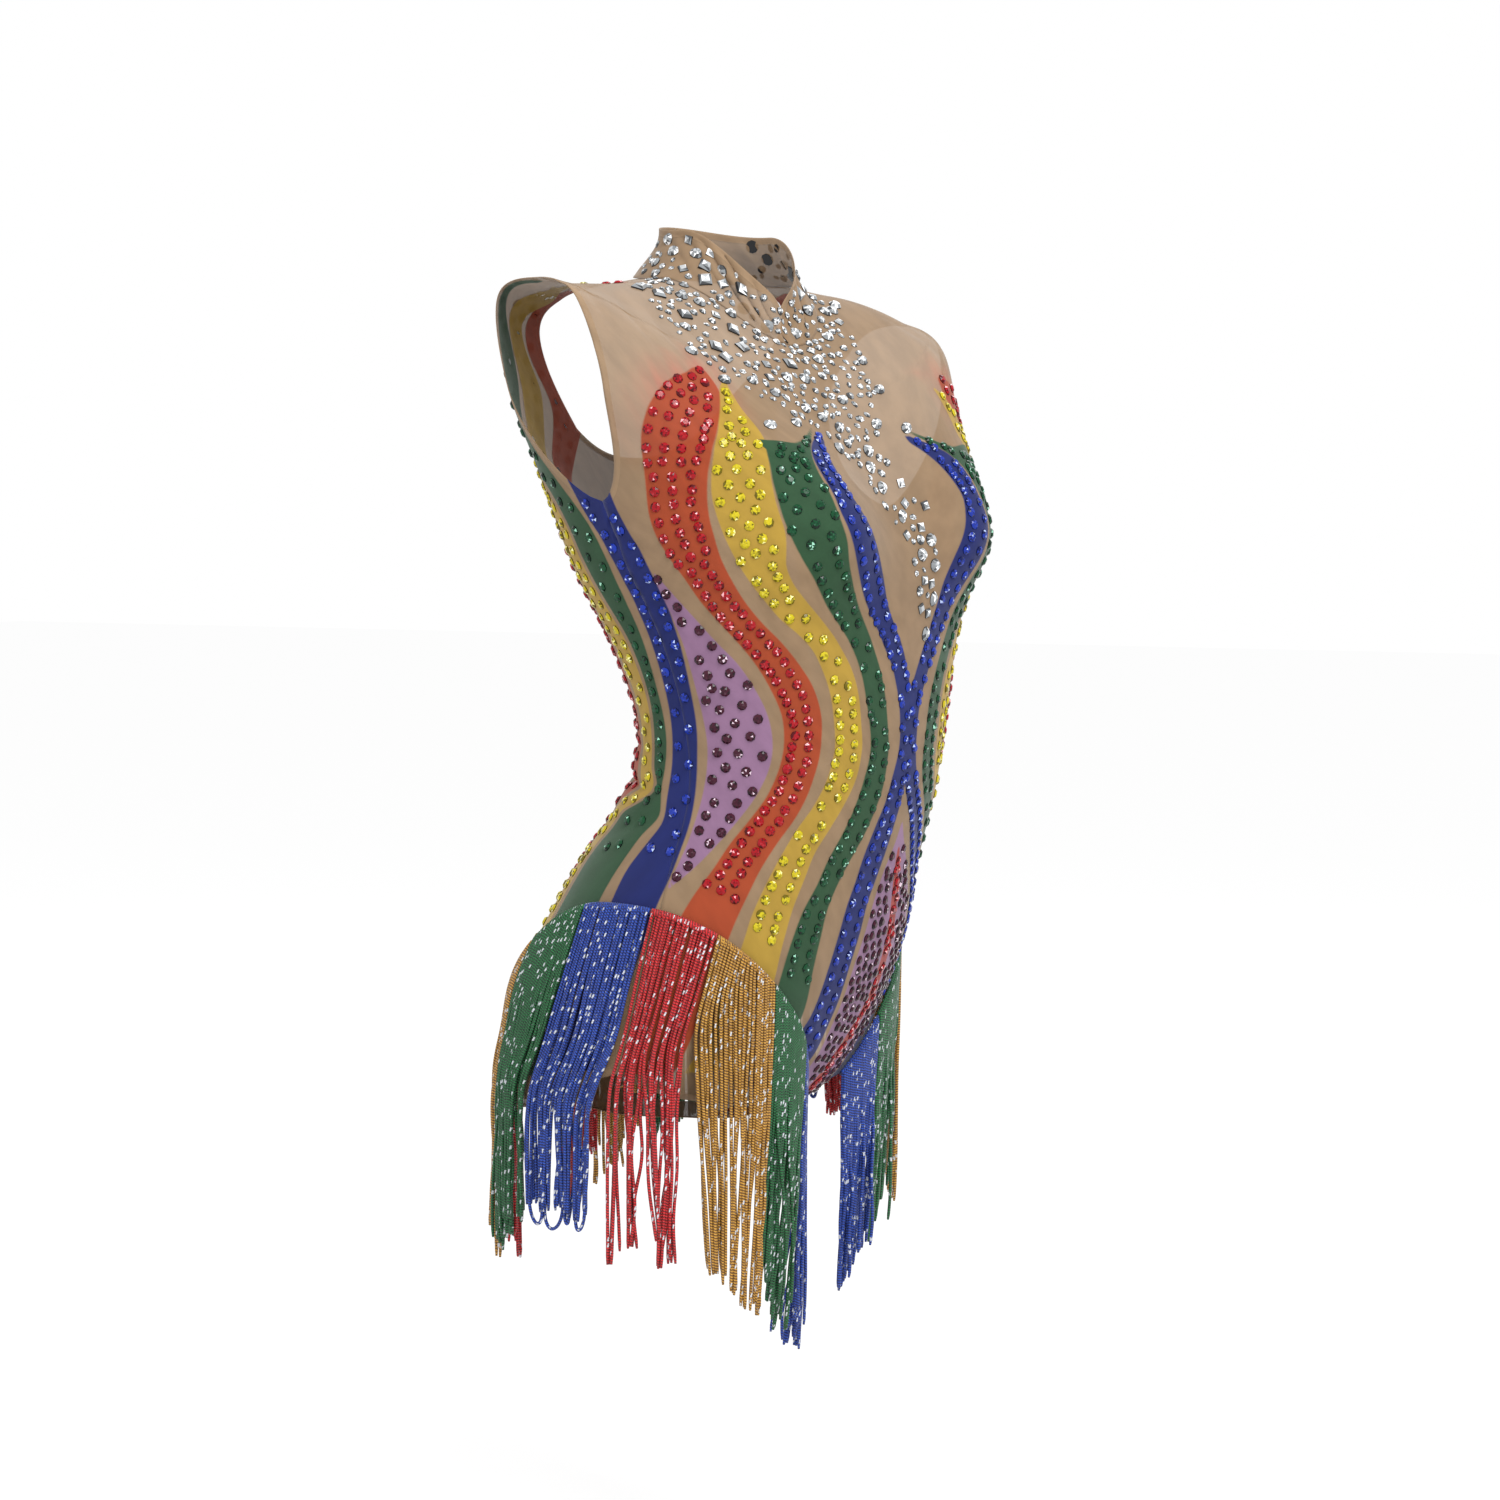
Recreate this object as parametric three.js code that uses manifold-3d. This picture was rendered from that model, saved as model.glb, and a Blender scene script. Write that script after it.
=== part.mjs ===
// A sleeveless bodysuit of sheer mesh with a stand collar and a cord fringe round the hips, hollow, as
// worn. Millimetres, +Z up. The wearer faces -Y and the wearer's left is +X. The origin is the middle of
// the neck's base.
import * as THREE from "three";
import Module from "manifold-3d";
import { mergeVertices } from "three/addons/utils/BufferGeometryUtils.js";

const wasm = await Module();
wasm.setup();

// Driving dimensions.
const WALL = 1.5; // thickness of the cloth's wall
const SEAM_GAP = 0.3; // between two pieces that are sewn together
const SHOULDER_TIP = 2.5; // level at which the shoulder seam meets the armhole
const ARMPIT = 5.2; // level of the armhole's lowest point
const LEG_TOP = 12.4; // level at which the side seam meets the leg opening
const CROTCH = 15; // level of the crotch seam
const CROTCH_HALF = 11; // degrees either side of the middle that the crotch strip takes
const FRINGE_STRIP = 7; // height of the tape that holds the fringe
const FRINGE_TAPE = 1.2; // its thickness
const CORD = 1.3; // radius of one cord of the fringe
const CORD_PITCH = 5.2; // spacing of the cords along the tape, seen from above

// The torso's levels, from the neck seam (0) to the crotch seam (15), one ring round the body for each.
// front, side, back: the ring's heights there. middle: y of its centre. half: half its width. toFront,
// toBack: depths from the centre. squareFront, squareBack: 2 is an ellipse, more is squarer. turn: degrees
// that the pose turns it.
const COLUMNS = [
  "front", "side", "back", "middle", "half", "toFront", "toBack", "squareFront", "squareBack", "turn",
];
const LEVELS = [
  [-48, -6, 0, 1, 60, 61, 52, 2.0, 2.0, -8],
  [-58, -11, -8, -4, 98, 70, 62, 1.9, 2.0, -11],
  [-72, -13, -24, -8, 143, 82, 70, 1.9, 2.1, -13],
  [-92, -14, -52, -10, 183, 96, 79, 2.0, 2.3, -13],
  [-118, -72, -86, -15, 180, 103, 88, 2.2, 2.5, -9],
  [-154, -136, -136, -24, 162, 105, 96, 2.3, 2.4, -4],
  [-191, -186, -186, -34, 152, 107, 95, 2.3, 2.3, -2],
  [-236, -236, -236, -46, 138, 97, 88, 2.2, 2.2, 0],
  [-286, -286, -286, -51, 126, 90, 81, 2.1, 2.1, 1],
  [-331, -331, -331, -43, 127, 92, 87, 2.1, 2.1, 5],
  [-381, -381, -381, -25, 141, 97, 102, 2.1, 2.1, 9],
  [-431, -431, -431, -16, 157, 95, 109, 2.0, 2.1, 10],
  [-481, -481, -481, -8, 167, 85, 120, 1.85, 2.1, 10],
  [-526, -526, -526, 0, 170, 66, 126, 1.85, 2.1, 8],
  [-543, -560, -548, 0, 170, 35, 74, 2.0, 2.0, 8],
  [-548, -560, -548, 0, 170, 0, 0, 2.0, 2.0, 8],
];
// The fullness that the cups and the seat are cut with: middle of one side, spread each way and depth.
const CUP = { x: 82, z: -158, up: 62, down: 42, side: 52, out: 30 };
const SEAT = { x: 78, z: -456, up: 62, down: 52, side: 62, out: 20 };
// The pose lowers the left shoulder and draws it back: from where to where across, and down which levels
// it fades.
const LEFT_SHOULDER = { lower: 20, drawnBack: 13, from: 90, to: 178, whole: 3, end: 6 };
// The collar's top edge, with the columns of a level.
const COLLAR_TOP = {
  front: -12, side: 27, back: 33, middle: -3, half: 42, toFront: 45, toBack: 42, turn: -8,
};
// Soft creases that fan out of the pit of the neck: degrees at the top edge, depth and half width in
// degrees.
const CREASES = [
  { at: -82, deep: 1.2, wide: 7 },
  { at: -58, deep: 1.8, wide: 6 },
  { at: -38, deep: 2.2, wide: 5 },
  { at: -20, deep: 2.0, wide: 4 },
  { at: 12, deep: 1.6, wide: 4 },
  { at: 31, deep: 2.0, wide: 5 },
  { at: 55, deep: 1.6, wide: 6 },
];

const rad = THREE.MathUtils.degToRad;
const clamp = THREE.MathUtils.clamp;
const lerp = THREE.MathUtils.lerp;
const smoothstep = THREE.MathUtils.smoothstep;

// A column of the table at any level: a cubic through the rows with the mean slope of its neighbours at
// each.
function level(name, t) {
  const k = COLUMNS.indexOf(name);
  const last = LEVELS.length - 1;
  const at = (i) => LEVELS[clamp(i, 0, last)][k];
  const slope = (i) => (at(i + 1) - at(i - 1)) / (i === 0 || i === last ? 1 : 2);
  const i = Math.min(Math.floor(t), last - 1);
  const f = t - i;
  return (
    (1 + 2 * f) * (1 - f) ** 2 * at(i) +
    f * (1 - f) ** 2 * slope(i) +
    f * f * (3 - 2 * f) * at(i + 1) +
    f * f * (f - 1) * slope(i + 1)
  );
}

// How far a pair of rounded swellings pushes the cloth out at x, z.
function swelling(form, x, z) {
  const dz = z - form.z;
  const height = Math.exp(-((dz / (dz > 0 ? form.up : form.down)) ** 2));
  const pair = [-form.x, form.x].map((m) => Math.exp(-(((x - m) / form.side) ** 2)));
  return form.out * height * (pair[0] + pair[1]);
}

// The inner face of the cloth: u is degrees from the centre front towards the wearer's left, t is the
// level.
function skin(u, t) {
  const s = Math.sin(rad(u));
  const c = Math.cos(rad(u));
  const isFront = c > 0;
  const power = 2 / level(isFront ? "squareFront" : "squareBack", t);
  const x = level("half", t) * Math.sign(s) * Math.abs(s) ** power;
  const depth = Math.abs(c) ** power;
  const side = level("side", t);
  const z = side + (level(isFront ? "front" : "back", t) - side) * c * c;
  const fade = Math.min(Math.abs(c) * 1.6, 1);
  const y = isFront
    ? level("middle", t) - level("toFront", t) * depth - swelling(CUP, x, z) * fade
    : level("middle", t) + level("toBack", t) * depth + swelling(SEAT, x, z) * fade;
  const p = new THREE.Vector3(x, y, z).applyAxisAngle(new THREE.Vector3(0, 0, 1), rad(level("turn", t)));
  const pose = LEFT_SHOULDER;
  const share = smoothstep(p.x, pose.from, pose.to) * (1 - smoothstep(t, pose.whole, pose.end));
  return p.add(new THREE.Vector3(0, pose.drawnBack * share, -pose.lower * share));
}

// The direction straight out of a surface, from two short steps along it.
function outward(surface, u, t, lowest, highest) {
  const du = surface(u + 0.6, t).sub(surface(u - 0.6, t));
  const dt = surface(u, Math.min(t + 0.02, highest)).sub(surface(u, Math.max(t - 0.02, lowest)));
  return dt.cross(du).normalize();
}

const skinOut = (u, t) => outward(skin, u, t, 0, CROTCH);
const overSkin = (u, t, distance) => skin(u, t).addScaledVector(skinOut(u, t), distance);

function setPoints(geometry, points) {
  geometry.setAttribute("position", new THREE.Float32BufferAttribute(points.flatMap((p) => p.toArray()), 3));
}

// A closed wall from a sheet of cells: points [inner, outer] and quads that run round each cell, seen from
// outside.
function wallGeometry(points, quads) {
  const inner = (i) => 2 * i;
  const outer = (i) => 2 * i + 1;
  const index = [];
  const quad = (a, b, c, d) => index.push(a, b, c, a, c, d);
  const edges = new Set(quads.flatMap((q) => q.map((a, k) => a + "_" + q[(k + 1) % 4])));
  for (const q of quads) {
    quad(...q.map(outer));
    quad(...[...q].reverse().map(inner));
    q.forEach((a, k) => {
      const b = q[(k + 1) % 4];
      if (!edges.has(b + "_" + a)) quad(outer(b), outer(a), inner(a), inner(b));
    });
  }
  const geometry = new THREE.BufferGeometry();
  setPoints(geometry, points.flat());
  geometry.setIndex(index);
  return geometry;
}

// A wall on a grid of rows and columns: place(row, column) gives [inner, outer], keep(row, column) says
// which cells are cloth. Columns run towards the wearer's left at the front, rows run down.
function gridWall(rows, columns, place, keep = () => true) {
  const ids = new Map();
  const points = [];
  const id = (i, j) => {
    const key = i * (columns + 1) + j;
    if (!ids.has(key)) {
      ids.set(key, points.length);
      points.push(place(i, j));
    }
    return ids.get(key);
  };
  const quads = [];
  for (let i = 0; i < rows; i++)
    for (let j = 0; j < columns; j++)
      if (keep(i, j)) quads.push([id(i, j), id(i + 1, j), id(i + 1, j + 1), id(i, j + 1)]);
  return wallGeometry(points, quads);
}

function solidOf(geometry) {
  const bare = new THREE.BufferGeometry();
  bare.setAttribute("position", geometry.getAttribute("position"));
  bare.setIndex(geometry.index);
  const merged = mergeVertices(bare, 1e-4);
  return new wasm.Manifold(
    new wasm.Mesh({
      numProp: 3,
      vertProperties: new Float32Array(merged.attributes.position.array),
      triVerts: new Uint32Array(merged.index.array),
    }),
  );
}

function geometryOf(solid) {
  const mesh = solid.getMesh();
  const geometry = new THREE.BufferGeometry();
  geometry.setAttribute("position", new THREE.BufferAttribute(new Float32Array(mesh.vertProperties), 3));
  geometry.setIndex(new THREE.BufferAttribute(new Uint32Array(mesh.triVerts), 1));
  geometry.computeVertexNormals();
  return geometry;
}

const part = new THREE.Group();
const cloth = new THREE.MeshStandardMaterial({ color: 0xb9957a, roughness: 0.75, metalness: 0 });

function addNode(name, geometry, material) {
  const mesh = new THREE.Mesh(geometry, material);
  mesh.name = name;
  part.add(mesh);
}

// How far the armhole is cut into a panel at a level, in degrees: nothing at the shoulder tip and the
// armpit, and most just under the shoulder.
const FRONT_SCYE = 24;
const BACK_SCYE = 31;
function armholeCut(t, reach, skew) {
  const down = clamp((t - SHOULDER_TIP) / (ARMPIT - SHOULDER_TIP), 0, 1);
  return reach * Math.max(Math.sin(Math.PI * down ** skew), 0) ** 0.8;
}

// Row levels that meet the shoulder tip, the armpit and the foot of the torso exactly.
function levelsDown(stretches) {
  const rows = [0];
  for (const [end, count] of stretches) {
    const start = rows[rows.length - 1];
    for (let k = 1; k <= count; k++) rows.push(lerp(start, end, k / count));
  }
  return rows;
}

// The lower edge of a panel at u degrees from its own middle: from the side seam in to the crotch strip.
function legEdge(u, low, bow) {
  const out = clamp((Math.abs(u) - CROTCH_HALF) / (90 - CROTCH_HALF), 0, 1);
  return LEG_TOP + (low - LEG_TOP) * (1 - out ** bow);
}

const MIDDLE_COLUMNS = 4; // over the crotch strip
const SIDE_COLUMNS = 8; // on each side of it
const HIP_ROW = 11; // level from which the rows bend towards the leg opening
const SEAM_DEGREES = 0.1; // a side seam's half gap
const BELOW_ARMPIT = [[HIP_ROW, 12], [LEG_TOP, 4]]; // rows that front and back share along the side seams

// A torso panel. facing: degrees of its middle. scye: its armhole. leg: the level and bow of its leg edge.
// hole: half width in degrees, at each level, of an opening from the neck down, and the level where that
// ends.
function torsoPanel({ facing, scye, skew, leg, stretches, hole }) {
  const torsoRows = levelsDown(stretches);
  const stripRows = 5;
  const columns = MIDDLE_COLUMNS + 2 * SIDE_COLUMNS;
  const middle = columns / 2;
  const halfMiddle = MIDDLE_COLUMNS / 2;
  const last = torsoRows.length - 1;
  const stripHalf = (t) => hole.half(Math.min(t, hole.end));
  const angle = (t, j) => {
    const edge = 90 - SEAM_DEGREES - armholeCut(t, scye, skew);
    const k = j - middle;
    const strip = hole ? lerp(stripHalf(t), CROTCH_HALF, clamp(t - hole.end, 0, 1)) : CROTCH_HALF;
    if (Math.abs(k) <= halfMiddle) return (strip * k) / halfMiddle;
    return Math.sign(k) * lerp(strip, edge, (Math.abs(k) - halfMiddle) / SIDE_COLUMNS);
  };
  const place = (i, j) => {
    const row = torsoRows[Math.min(i, last)];
    const u = angle(Math.min(row, LEG_TOP - 0.1), j);
    let t = row;
    if (row > HIP_ROW) t = lerp(HIP_ROW, legEdge(u, leg.low, leg.bow), (row - HIP_ROW) / (LEG_TOP - HIP_ROW));
    if (i > last) t = lerp(leg.low, CROTCH - leg.seam, (i - last) / stripRows);
    const around = hole && Math.abs(row - hole.end) < 1e-6 && Math.abs(u) < hole.half(row);
    if (around) t += hole.round * (1 - (u / hole.half(row)) ** 2);
    return [skin(facing + u, t), overSkin(facing + u, t, WALL)];
  };
  const inStrip = (j) => j >= middle - halfMiddle && j < middle + halfMiddle;
  const keep = (i, j) => {
    if (i >= last) return inStrip(j);
    return !(hole && torsoRows[i] < hole.end - 1e-6 && inStrip(j));
  };
  return gridWall(last + stripRows, columns, place, keep);
}

// Stones of 10 mm and more, in three cuts. u and t as on the torso, turn in degrees, both: also on the
// wearer's left.
const CUTS = {
  round: { sides: 6, half: 5.2, long: 1, high: 3.6 },
  square: { sides: 4, half: 6.6, long: 1, high: 3.2 },
  oval: { sides: 6, half: 4.4, long: 1.35, high: 3.2 },
};
const NECK_STONES = [
  { u: -78, t: 1.0, cut: "square", turn: 10, both: true },
  { u: -69, t: 0.8, cut: "square", turn: 30, both: true },
  { u: -51, t: 1.2, cut: "square", turn: 35, both: true },
  { u: -46, t: 1.8, cut: "round", turn: 0, both: true },
  { u: -38, t: 2.7, cut: "oval", turn: 25, both: true },
  { u: -35, t: 2.0, cut: "round", turn: 0, both: true },
  { u: -37, t: 0.7, cut: "square", turn: 5, both: true },
  { u: -28, t: 1.4, cut: "square", turn: 12, both: true },
  { u: -30, t: 3.1, cut: "oval", turn: 20, both: true },
  { u: -23, t: 2.5, cut: "oval", turn: 60, both: true },
  { u: -20, t: 1.7, cut: "square", turn: 50, both: true },
  { u: -26, t: 3.7, cut: "oval", turn: 15, both: true },
  { u: -16, t: 3.5, cut: "oval", turn: 5, both: true },
  { u: -14, t: 2.2, cut: "round", turn: 0, both: true },
  { u: -10, t: 1.3, cut: "square", turn: 20, both: true },
  { u: -5, t: 2.0, cut: "round", turn: 0, both: false },
  { u: 5, t: 2.5, cut: "oval", turn: 70, both: false },
  { u: -5, t: 3.0, cut: "round", turn: 0, both: false },
  { u: 1, t: 3.5, cut: "round", turn: 0, both: false },
  { u: -3, t: 4.0, cut: "oval", turn: 80, both: false },
  { u: 3, t: 4.5, cut: "round", turn: 0, both: false },
  { u: 7, t: 4.9, cut: "square", turn: 15, both: false },
  { u: 5, t: 5.3, cut: "round", turn: 0, both: false },
  { u: 4, t: 5.75, cut: "round", turn: 0, both: false },
  { u: 1, t: 6.1, cut: "square", turn: 5, both: false },
  { u: 6, t: 6.4, cut: "round", turn: 0, both: false },
  { u: 1, t: 6.7, cut: "square", turn: 25, both: false },
];
// On the collar t runs from its seam (0) to its top edge (1).
const COLLAR_STONES = [
  { u: -94, t: 0.55, cut: "round", turn: 0, both: true },
  { u: -66, t: 0.5, cut: "square", turn: 5, both: true },
  { u: -61, t: 0.22, cut: "square", turn: 40, both: true },
  { u: -52, t: 0.6, cut: "round", turn: 0, both: true },
  { u: -40, t: 0.42, cut: "square", turn: 10, both: true },
  { u: -19, t: 0.3, cut: "round", turn: 0, both: true },
];
const STONE_SUNK = 0.7; // how deep a stone's foot is set into the wall
const STONE_TABLE = 0.6; // its flat top, as a share of its foot

// One stone as a low frustum with its foot just under the wall's outer face, on the surface that place()
// gives.
function stoneSolid(stone, u, place) {
  const cut = CUTS[stone.cut];
  const foot = place(u, stone.t, WALL - STONE_SUNK);
  const out = place(u, stone.t, WALL + 1).sub(foot).normalize();
  const across = place(u + 2, stone.t, WALL).sub(place(u - 2, stone.t, WALL)).normalize();
  const along = out.clone().cross(across).normalize();
  const ring = (share, rise) =>
    Array.from({ length: cut.sides }, (_, k) => {
      const angle = (2 * Math.PI * (k + 0.5)) / cut.sides + rad(stone.turn);
      const long = cut.long * cut.half * share * Math.cos(angle);
      const wide = cut.half * share * Math.sin(angle);
      const corner = foot.clone().addScaledVector(out, rise);
      return corner.addScaledVector(across, long).addScaledVector(along, wide);
    });
  const points = [...ring(1, 0), ...ring(STONE_TABLE, cut.high)];
  const n = cut.sides;
  const index = [];
  for (let k = 0; k < n; k++) {
    const next = (k + 1) % n;
    index.push(k, next, n + next, k, n + next, n + k);
    if (k > 0 && k < n - 1) index.push(0, k + 1, k, n, n + k, n + k + 1);
  }
  const geometry = new THREE.BufferGeometry();
  setPoints(geometry, points);
  geometry.setIndex(index);
  return solidOf(geometry);
}

// The stones raised in the outer face of a panel, which stays plain inside.
function withStones(geometry, stones, place) {
  let solid = solidOf(geometry);
  for (const stone of stones) {
    solid = solid.add(stoneSolid(stone, stone.u, place));
    if (stone.both) solid = solid.add(stoneSolid({ ...stone, turn: -stone.turn }, -stone.u, place));
  }
  return geometryOf(solid);
}

const frontPanel = torsoPanel({
  facing: 0,
  scye: FRONT_SCYE,
  skew: 0.6,
  leg: { low: 13.05, bow: 1.75, seam: 0.005 },
  stretches: [[SHOULDER_TIP, 6], [ARMPIT, 9], ...BELOW_ARMPIT],
});
addNode("front_panel", withStones(frontPanel, NECK_STONES, overSkin), cloth);

// The back is open under the collar, from neck point to neck point and down between the shoulder blades.
const BACK_HOLE = { end: 4.3, round: 0.35, half: (t) => lerp(64, 16, clamp(t / 4.3, 0, 1) ** 1.15) };
const backPanel = torsoPanel({
  facing: 180,
  scye: BACK_SCYE,
  skew: 0.8,
  leg: { low: 13.7, bow: 1.1, seam: 0.003 },
  stretches: [[SHOULDER_TIP, 6], [BACK_HOLE.end, 5], [ARMPIT, 3], ...BELOW_ARMPIT],
  hole: BACK_HOLE,
});
addNode("back_panel", backPanel, cloth);

// The stand collar, in one piece, open at the nape by a seam gap.
function collarSkin(u, s) {
  const base = overSkin(u, 0, WALL + SEAM_GAP);
  const c = Math.cos(rad(u));
  const top = new THREE.Vector3(
    COLLAR_TOP.half * Math.sin(rad(u)),
    COLLAR_TOP.middle - (c > 0 ? COLLAR_TOP.toFront : COLLAR_TOP.toBack) * c,
    COLLAR_TOP.side + ((c > 0 ? COLLAR_TOP.front : COLLAR_TOP.back) - COLLAR_TOP.side) * c * c,
  ).applyAxisAngle(new THREE.Vector3(0, 0, 1), rad(COLLAR_TOP.turn));
  const lean = Math.sin((s * Math.PI) / 2);
  const p = new THREE.Vector3(lerp(base.x, top.x, lean), lerp(base.y, top.y, lean), lerp(base.z, top.z, s));
  const fan = 0.35 + 0.65 * s;
  const trough = (f) => f.deep * Math.exp(-(((u - f.at * fan) / (f.wide * fan)) ** 2));
  const sunk = CREASES.reduce((sum, f) => sum + trough(f), 0);
  const inward = new THREE.Vector3(-p.x, -p.y, 0).normalize();
  return p.addScaledVector(inward, sunk * Math.sin(Math.PI * clamp(s * 1.1, 0, 1)));
}
// t runs down as on the torso, so the collar's own outward direction is taken from its top edge downwards.
const collarDown = (u, t) => collarSkin(u, 1 - t);
const overCollar = (u, s, distance) =>
  collarSkin(u, s).addScaledVector(outward(collarDown, u, 1 - s, 0, 1), distance);
const COLLAR_COLUMNS = 44;
const COLLAR_ROWS = 4;
const NAPE_DEGREES = 0.35; // half the gap at the nape
const collar = gridWall(COLLAR_ROWS, COLLAR_COLUMNS, (i, j) => {
  const u = lerp(-180 + NAPE_DEGREES, 180 - NAPE_DEGREES, j / COLLAR_COLUMNS);
  const s = 1 - i / COLLAR_ROWS;
  return [collarSkin(u, s), overCollar(u, s, WALL)];
});
addNode("stand_collar", withStones(collar, COLLAR_STONES, overCollar), cloth);

// The fringe line: the level of its tape at u degrees from the centre front. It is highest just behind the
// side.
const FRINGE_TOP = 10.36;
const FRINGE_PEAK = 105; // degrees from the centre front
function fringeLevel(u) {
  const toFront = clamp((FRINGE_PEAK - Math.abs(u)) / (FRINGE_PEAK - 12), 0, 1);
  const toBack = clamp((Math.abs(u) - FRINGE_PEAK) / (170 - FRINGE_PEAK), 0, 1);
  return FRINGE_TOP + 2.5 * toFront ** 2.25 + 2.3 * toBack ** 2.3;
}
// The lengths of fringe on one side, from the centre front to the back: where each ends and how long its
// cords are.
const FRINGE_START = 12;
const FRINGE_COLOURS = { blue: 0x12318f, green: 0x0d5a28, gold: 0xb98322, red: 0xb81a1c };
const FRINGE = [
  { colour: "blue", end: 25, length: 185 },
  { colour: "green", end: 45, length: 190 },
  { colour: "gold", end: 68, length: 228 },
  { colour: "red", end: 92, length: 215 },
  { colour: "blue", end: 118, length: 192 },
  { colour: "green", end: 142, length: 212 },
  { colour: "gold", end: 157, length: 200 },
  { colour: "red", end: 170, length: 190 },
];
const TAPE_OUT = WALL + 0.75; // the tape's inner face, measured from the inside of the cloth
const CORD_OUT = TAPE_OUT + FRINGE_TAPE * 0.5 + 0.35; // a cord's middle at its root
const CORD_CLEAR = WALL + 3; // a cord's middle where it lies over the hip
const CORD_BEND = 0.75; // levels between the bends of a cord that lies over the hip
const CORD_LOWEST = 13; // the last level that a cord lies over
const BLOCK_GAP = 0.35; // half the degrees between two lengths of tape
const LEVEL_HEIGHT = 50; // of one level at the hip

// The route of one cord: it lies over the cloth while the body widens, then hangs straight from the widest
// place.
function cordRoute(u, length) {
  const rootLevel = fringeLevel(u) + 0.05;
  const root = overSkin(u, rootLevel, CORD_OUT);
  const away = new THREE.Vector3(root.x, root.y, 0).normalize();
  const steps = 14;
  let widest = rootLevel;
  let reach = root.dot(away);
  for (let k = 1; k <= steps; k++) {
    const t = lerp(rootLevel, CORD_LOWEST, k / steps);
    const p = overSkin(u, t, CORD_CLEAR);
    if (p.dot(away) > reach + 0.4 && root.z - p.z < length * 0.8) {
      reach = p.dot(away);
      widest = t;
    }
  }
  const route = [root];
  const bends = Math.round((widest - rootLevel) / CORD_BEND);
  for (let k = 1; k <= bends; k++) route.push(overSkin(u, lerp(rootLevel, widest, k / bends), CORD_CLEAR));
  const last = route[route.length - 1];
  route.push(new THREE.Vector3(last.x, last.y, root.z - length));
  return route;
}

// A cord of three sides with a flat side to the body.
function cordSolid(route) {
  const away = new THREE.Vector3(route[0].x, route[0].y, 0).normalize();
  const across = new THREE.Vector3(0, 0, 1).cross(away);
  const corners = [0, 120, 240].map((a) => [Math.cos(rad(a)) * CORD, Math.sin(rad(a)) * CORD]);
  const points = route.flatMap((p) =>
    corners.map(([out, side]) => p.clone().addScaledVector(away, out).addScaledVector(across, side)),
  );
  const index = [0, 1, 2];
  for (let i = 0; i < route.length - 1; i++)
    for (let k = 0; k < 3; k++) {
      const a = 3 * i + k;
      const b = 3 * i + ((k + 1) % 3);
      index.push(a, a + 3, b + 3, a, b + 3, b);
    }
  const end = 3 * (route.length - 1);
  index.push(end, end + 2, end + 1);
  const geometry = new THREE.BufferGeometry();
  setPoints(geometry, points);
  geometry.setIndex(index);
  return solidOf(geometry);
}

// One length of fringe: a tape along the fringe line, just clear of the cloth, with its cords fused to it.
function fringeLength(side, start, end, length) {
  const from = start + BLOCK_GAP;
  const to = end - BLOCK_GAP;
  const columns = 6;
  const tape = gridWall(1, columns, (i, j) => {
    const share = side > 0 ? j / columns : 1 - j / columns;
    const u = side * lerp(from, to, share);
    const t = fringeLevel(u) + (i * FRINGE_STRIP) / LEVEL_HEIGHT;
    return [overSkin(u, t, TAPE_OUT), overSkin(u, t, TAPE_OUT + FRINGE_TAPE)];
  });
  let solid = solidOf(tape);
  const a = skin(from, fringeLevel(from));
  const b = skin(to, fringeLevel(to));
  const count = Math.max(5, Math.round(Math.hypot(a.x - b.x, a.y - b.y) / CORD_PITCH));
  for (let k = 0; k < count; k++) {
    const u = side * lerp(from, to, (k + 0.5) / count);
    solid = solid.add(cordSolid(cordRoute(u, length)));
  }
  return geometryOf(solid);
}

for (const [name, side] of [["right", -1], ["left", 1]]) {
  let start = FRINGE_START;
  FRINGE.forEach(({ colour, end, length }, k) => {
    const material = new THREE.MeshStandardMaterial({ color: FRINGE_COLOURS[colour], roughness: 0.5 });
    const geometry = fringeLength(side, start, end, length);
    addNode("fringe_" + name + "_" + (k + 1) + "_" + colour, geometry, material);
    start = end;
  });
}

export default part;
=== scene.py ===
# %% [markdown]
# # A sheer mesh bodysuit with set stones and a cord fringe
# The real garment is stretch mesh, cut in a front, a back and a stand collar. It is printed with wavy
# colour stripes, set with some two thousand faceted stones and hung with a fringe of chain cord. Here the
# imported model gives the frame, and every piece below is laid on the surface that its solids were made from.

# %% Start from the frame
import math

import bpy
import numpy as np
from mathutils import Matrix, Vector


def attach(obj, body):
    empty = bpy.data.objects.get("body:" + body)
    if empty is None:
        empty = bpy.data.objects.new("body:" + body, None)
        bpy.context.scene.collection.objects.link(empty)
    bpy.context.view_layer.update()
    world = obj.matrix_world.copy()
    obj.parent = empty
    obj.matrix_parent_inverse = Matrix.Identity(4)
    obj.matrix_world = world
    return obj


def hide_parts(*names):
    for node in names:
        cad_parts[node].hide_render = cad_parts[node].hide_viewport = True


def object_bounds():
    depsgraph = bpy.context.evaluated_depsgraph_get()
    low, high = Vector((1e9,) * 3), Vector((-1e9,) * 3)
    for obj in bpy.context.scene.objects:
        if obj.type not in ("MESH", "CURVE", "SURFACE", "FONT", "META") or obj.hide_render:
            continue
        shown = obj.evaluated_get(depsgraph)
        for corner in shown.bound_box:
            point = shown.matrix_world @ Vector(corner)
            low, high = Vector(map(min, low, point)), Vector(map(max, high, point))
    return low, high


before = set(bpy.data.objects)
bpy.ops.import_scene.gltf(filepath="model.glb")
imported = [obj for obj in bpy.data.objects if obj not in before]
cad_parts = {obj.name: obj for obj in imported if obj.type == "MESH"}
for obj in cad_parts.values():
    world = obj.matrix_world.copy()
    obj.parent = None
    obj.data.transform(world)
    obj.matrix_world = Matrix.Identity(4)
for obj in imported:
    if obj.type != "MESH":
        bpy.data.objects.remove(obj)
cad_low, cad_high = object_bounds()
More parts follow.
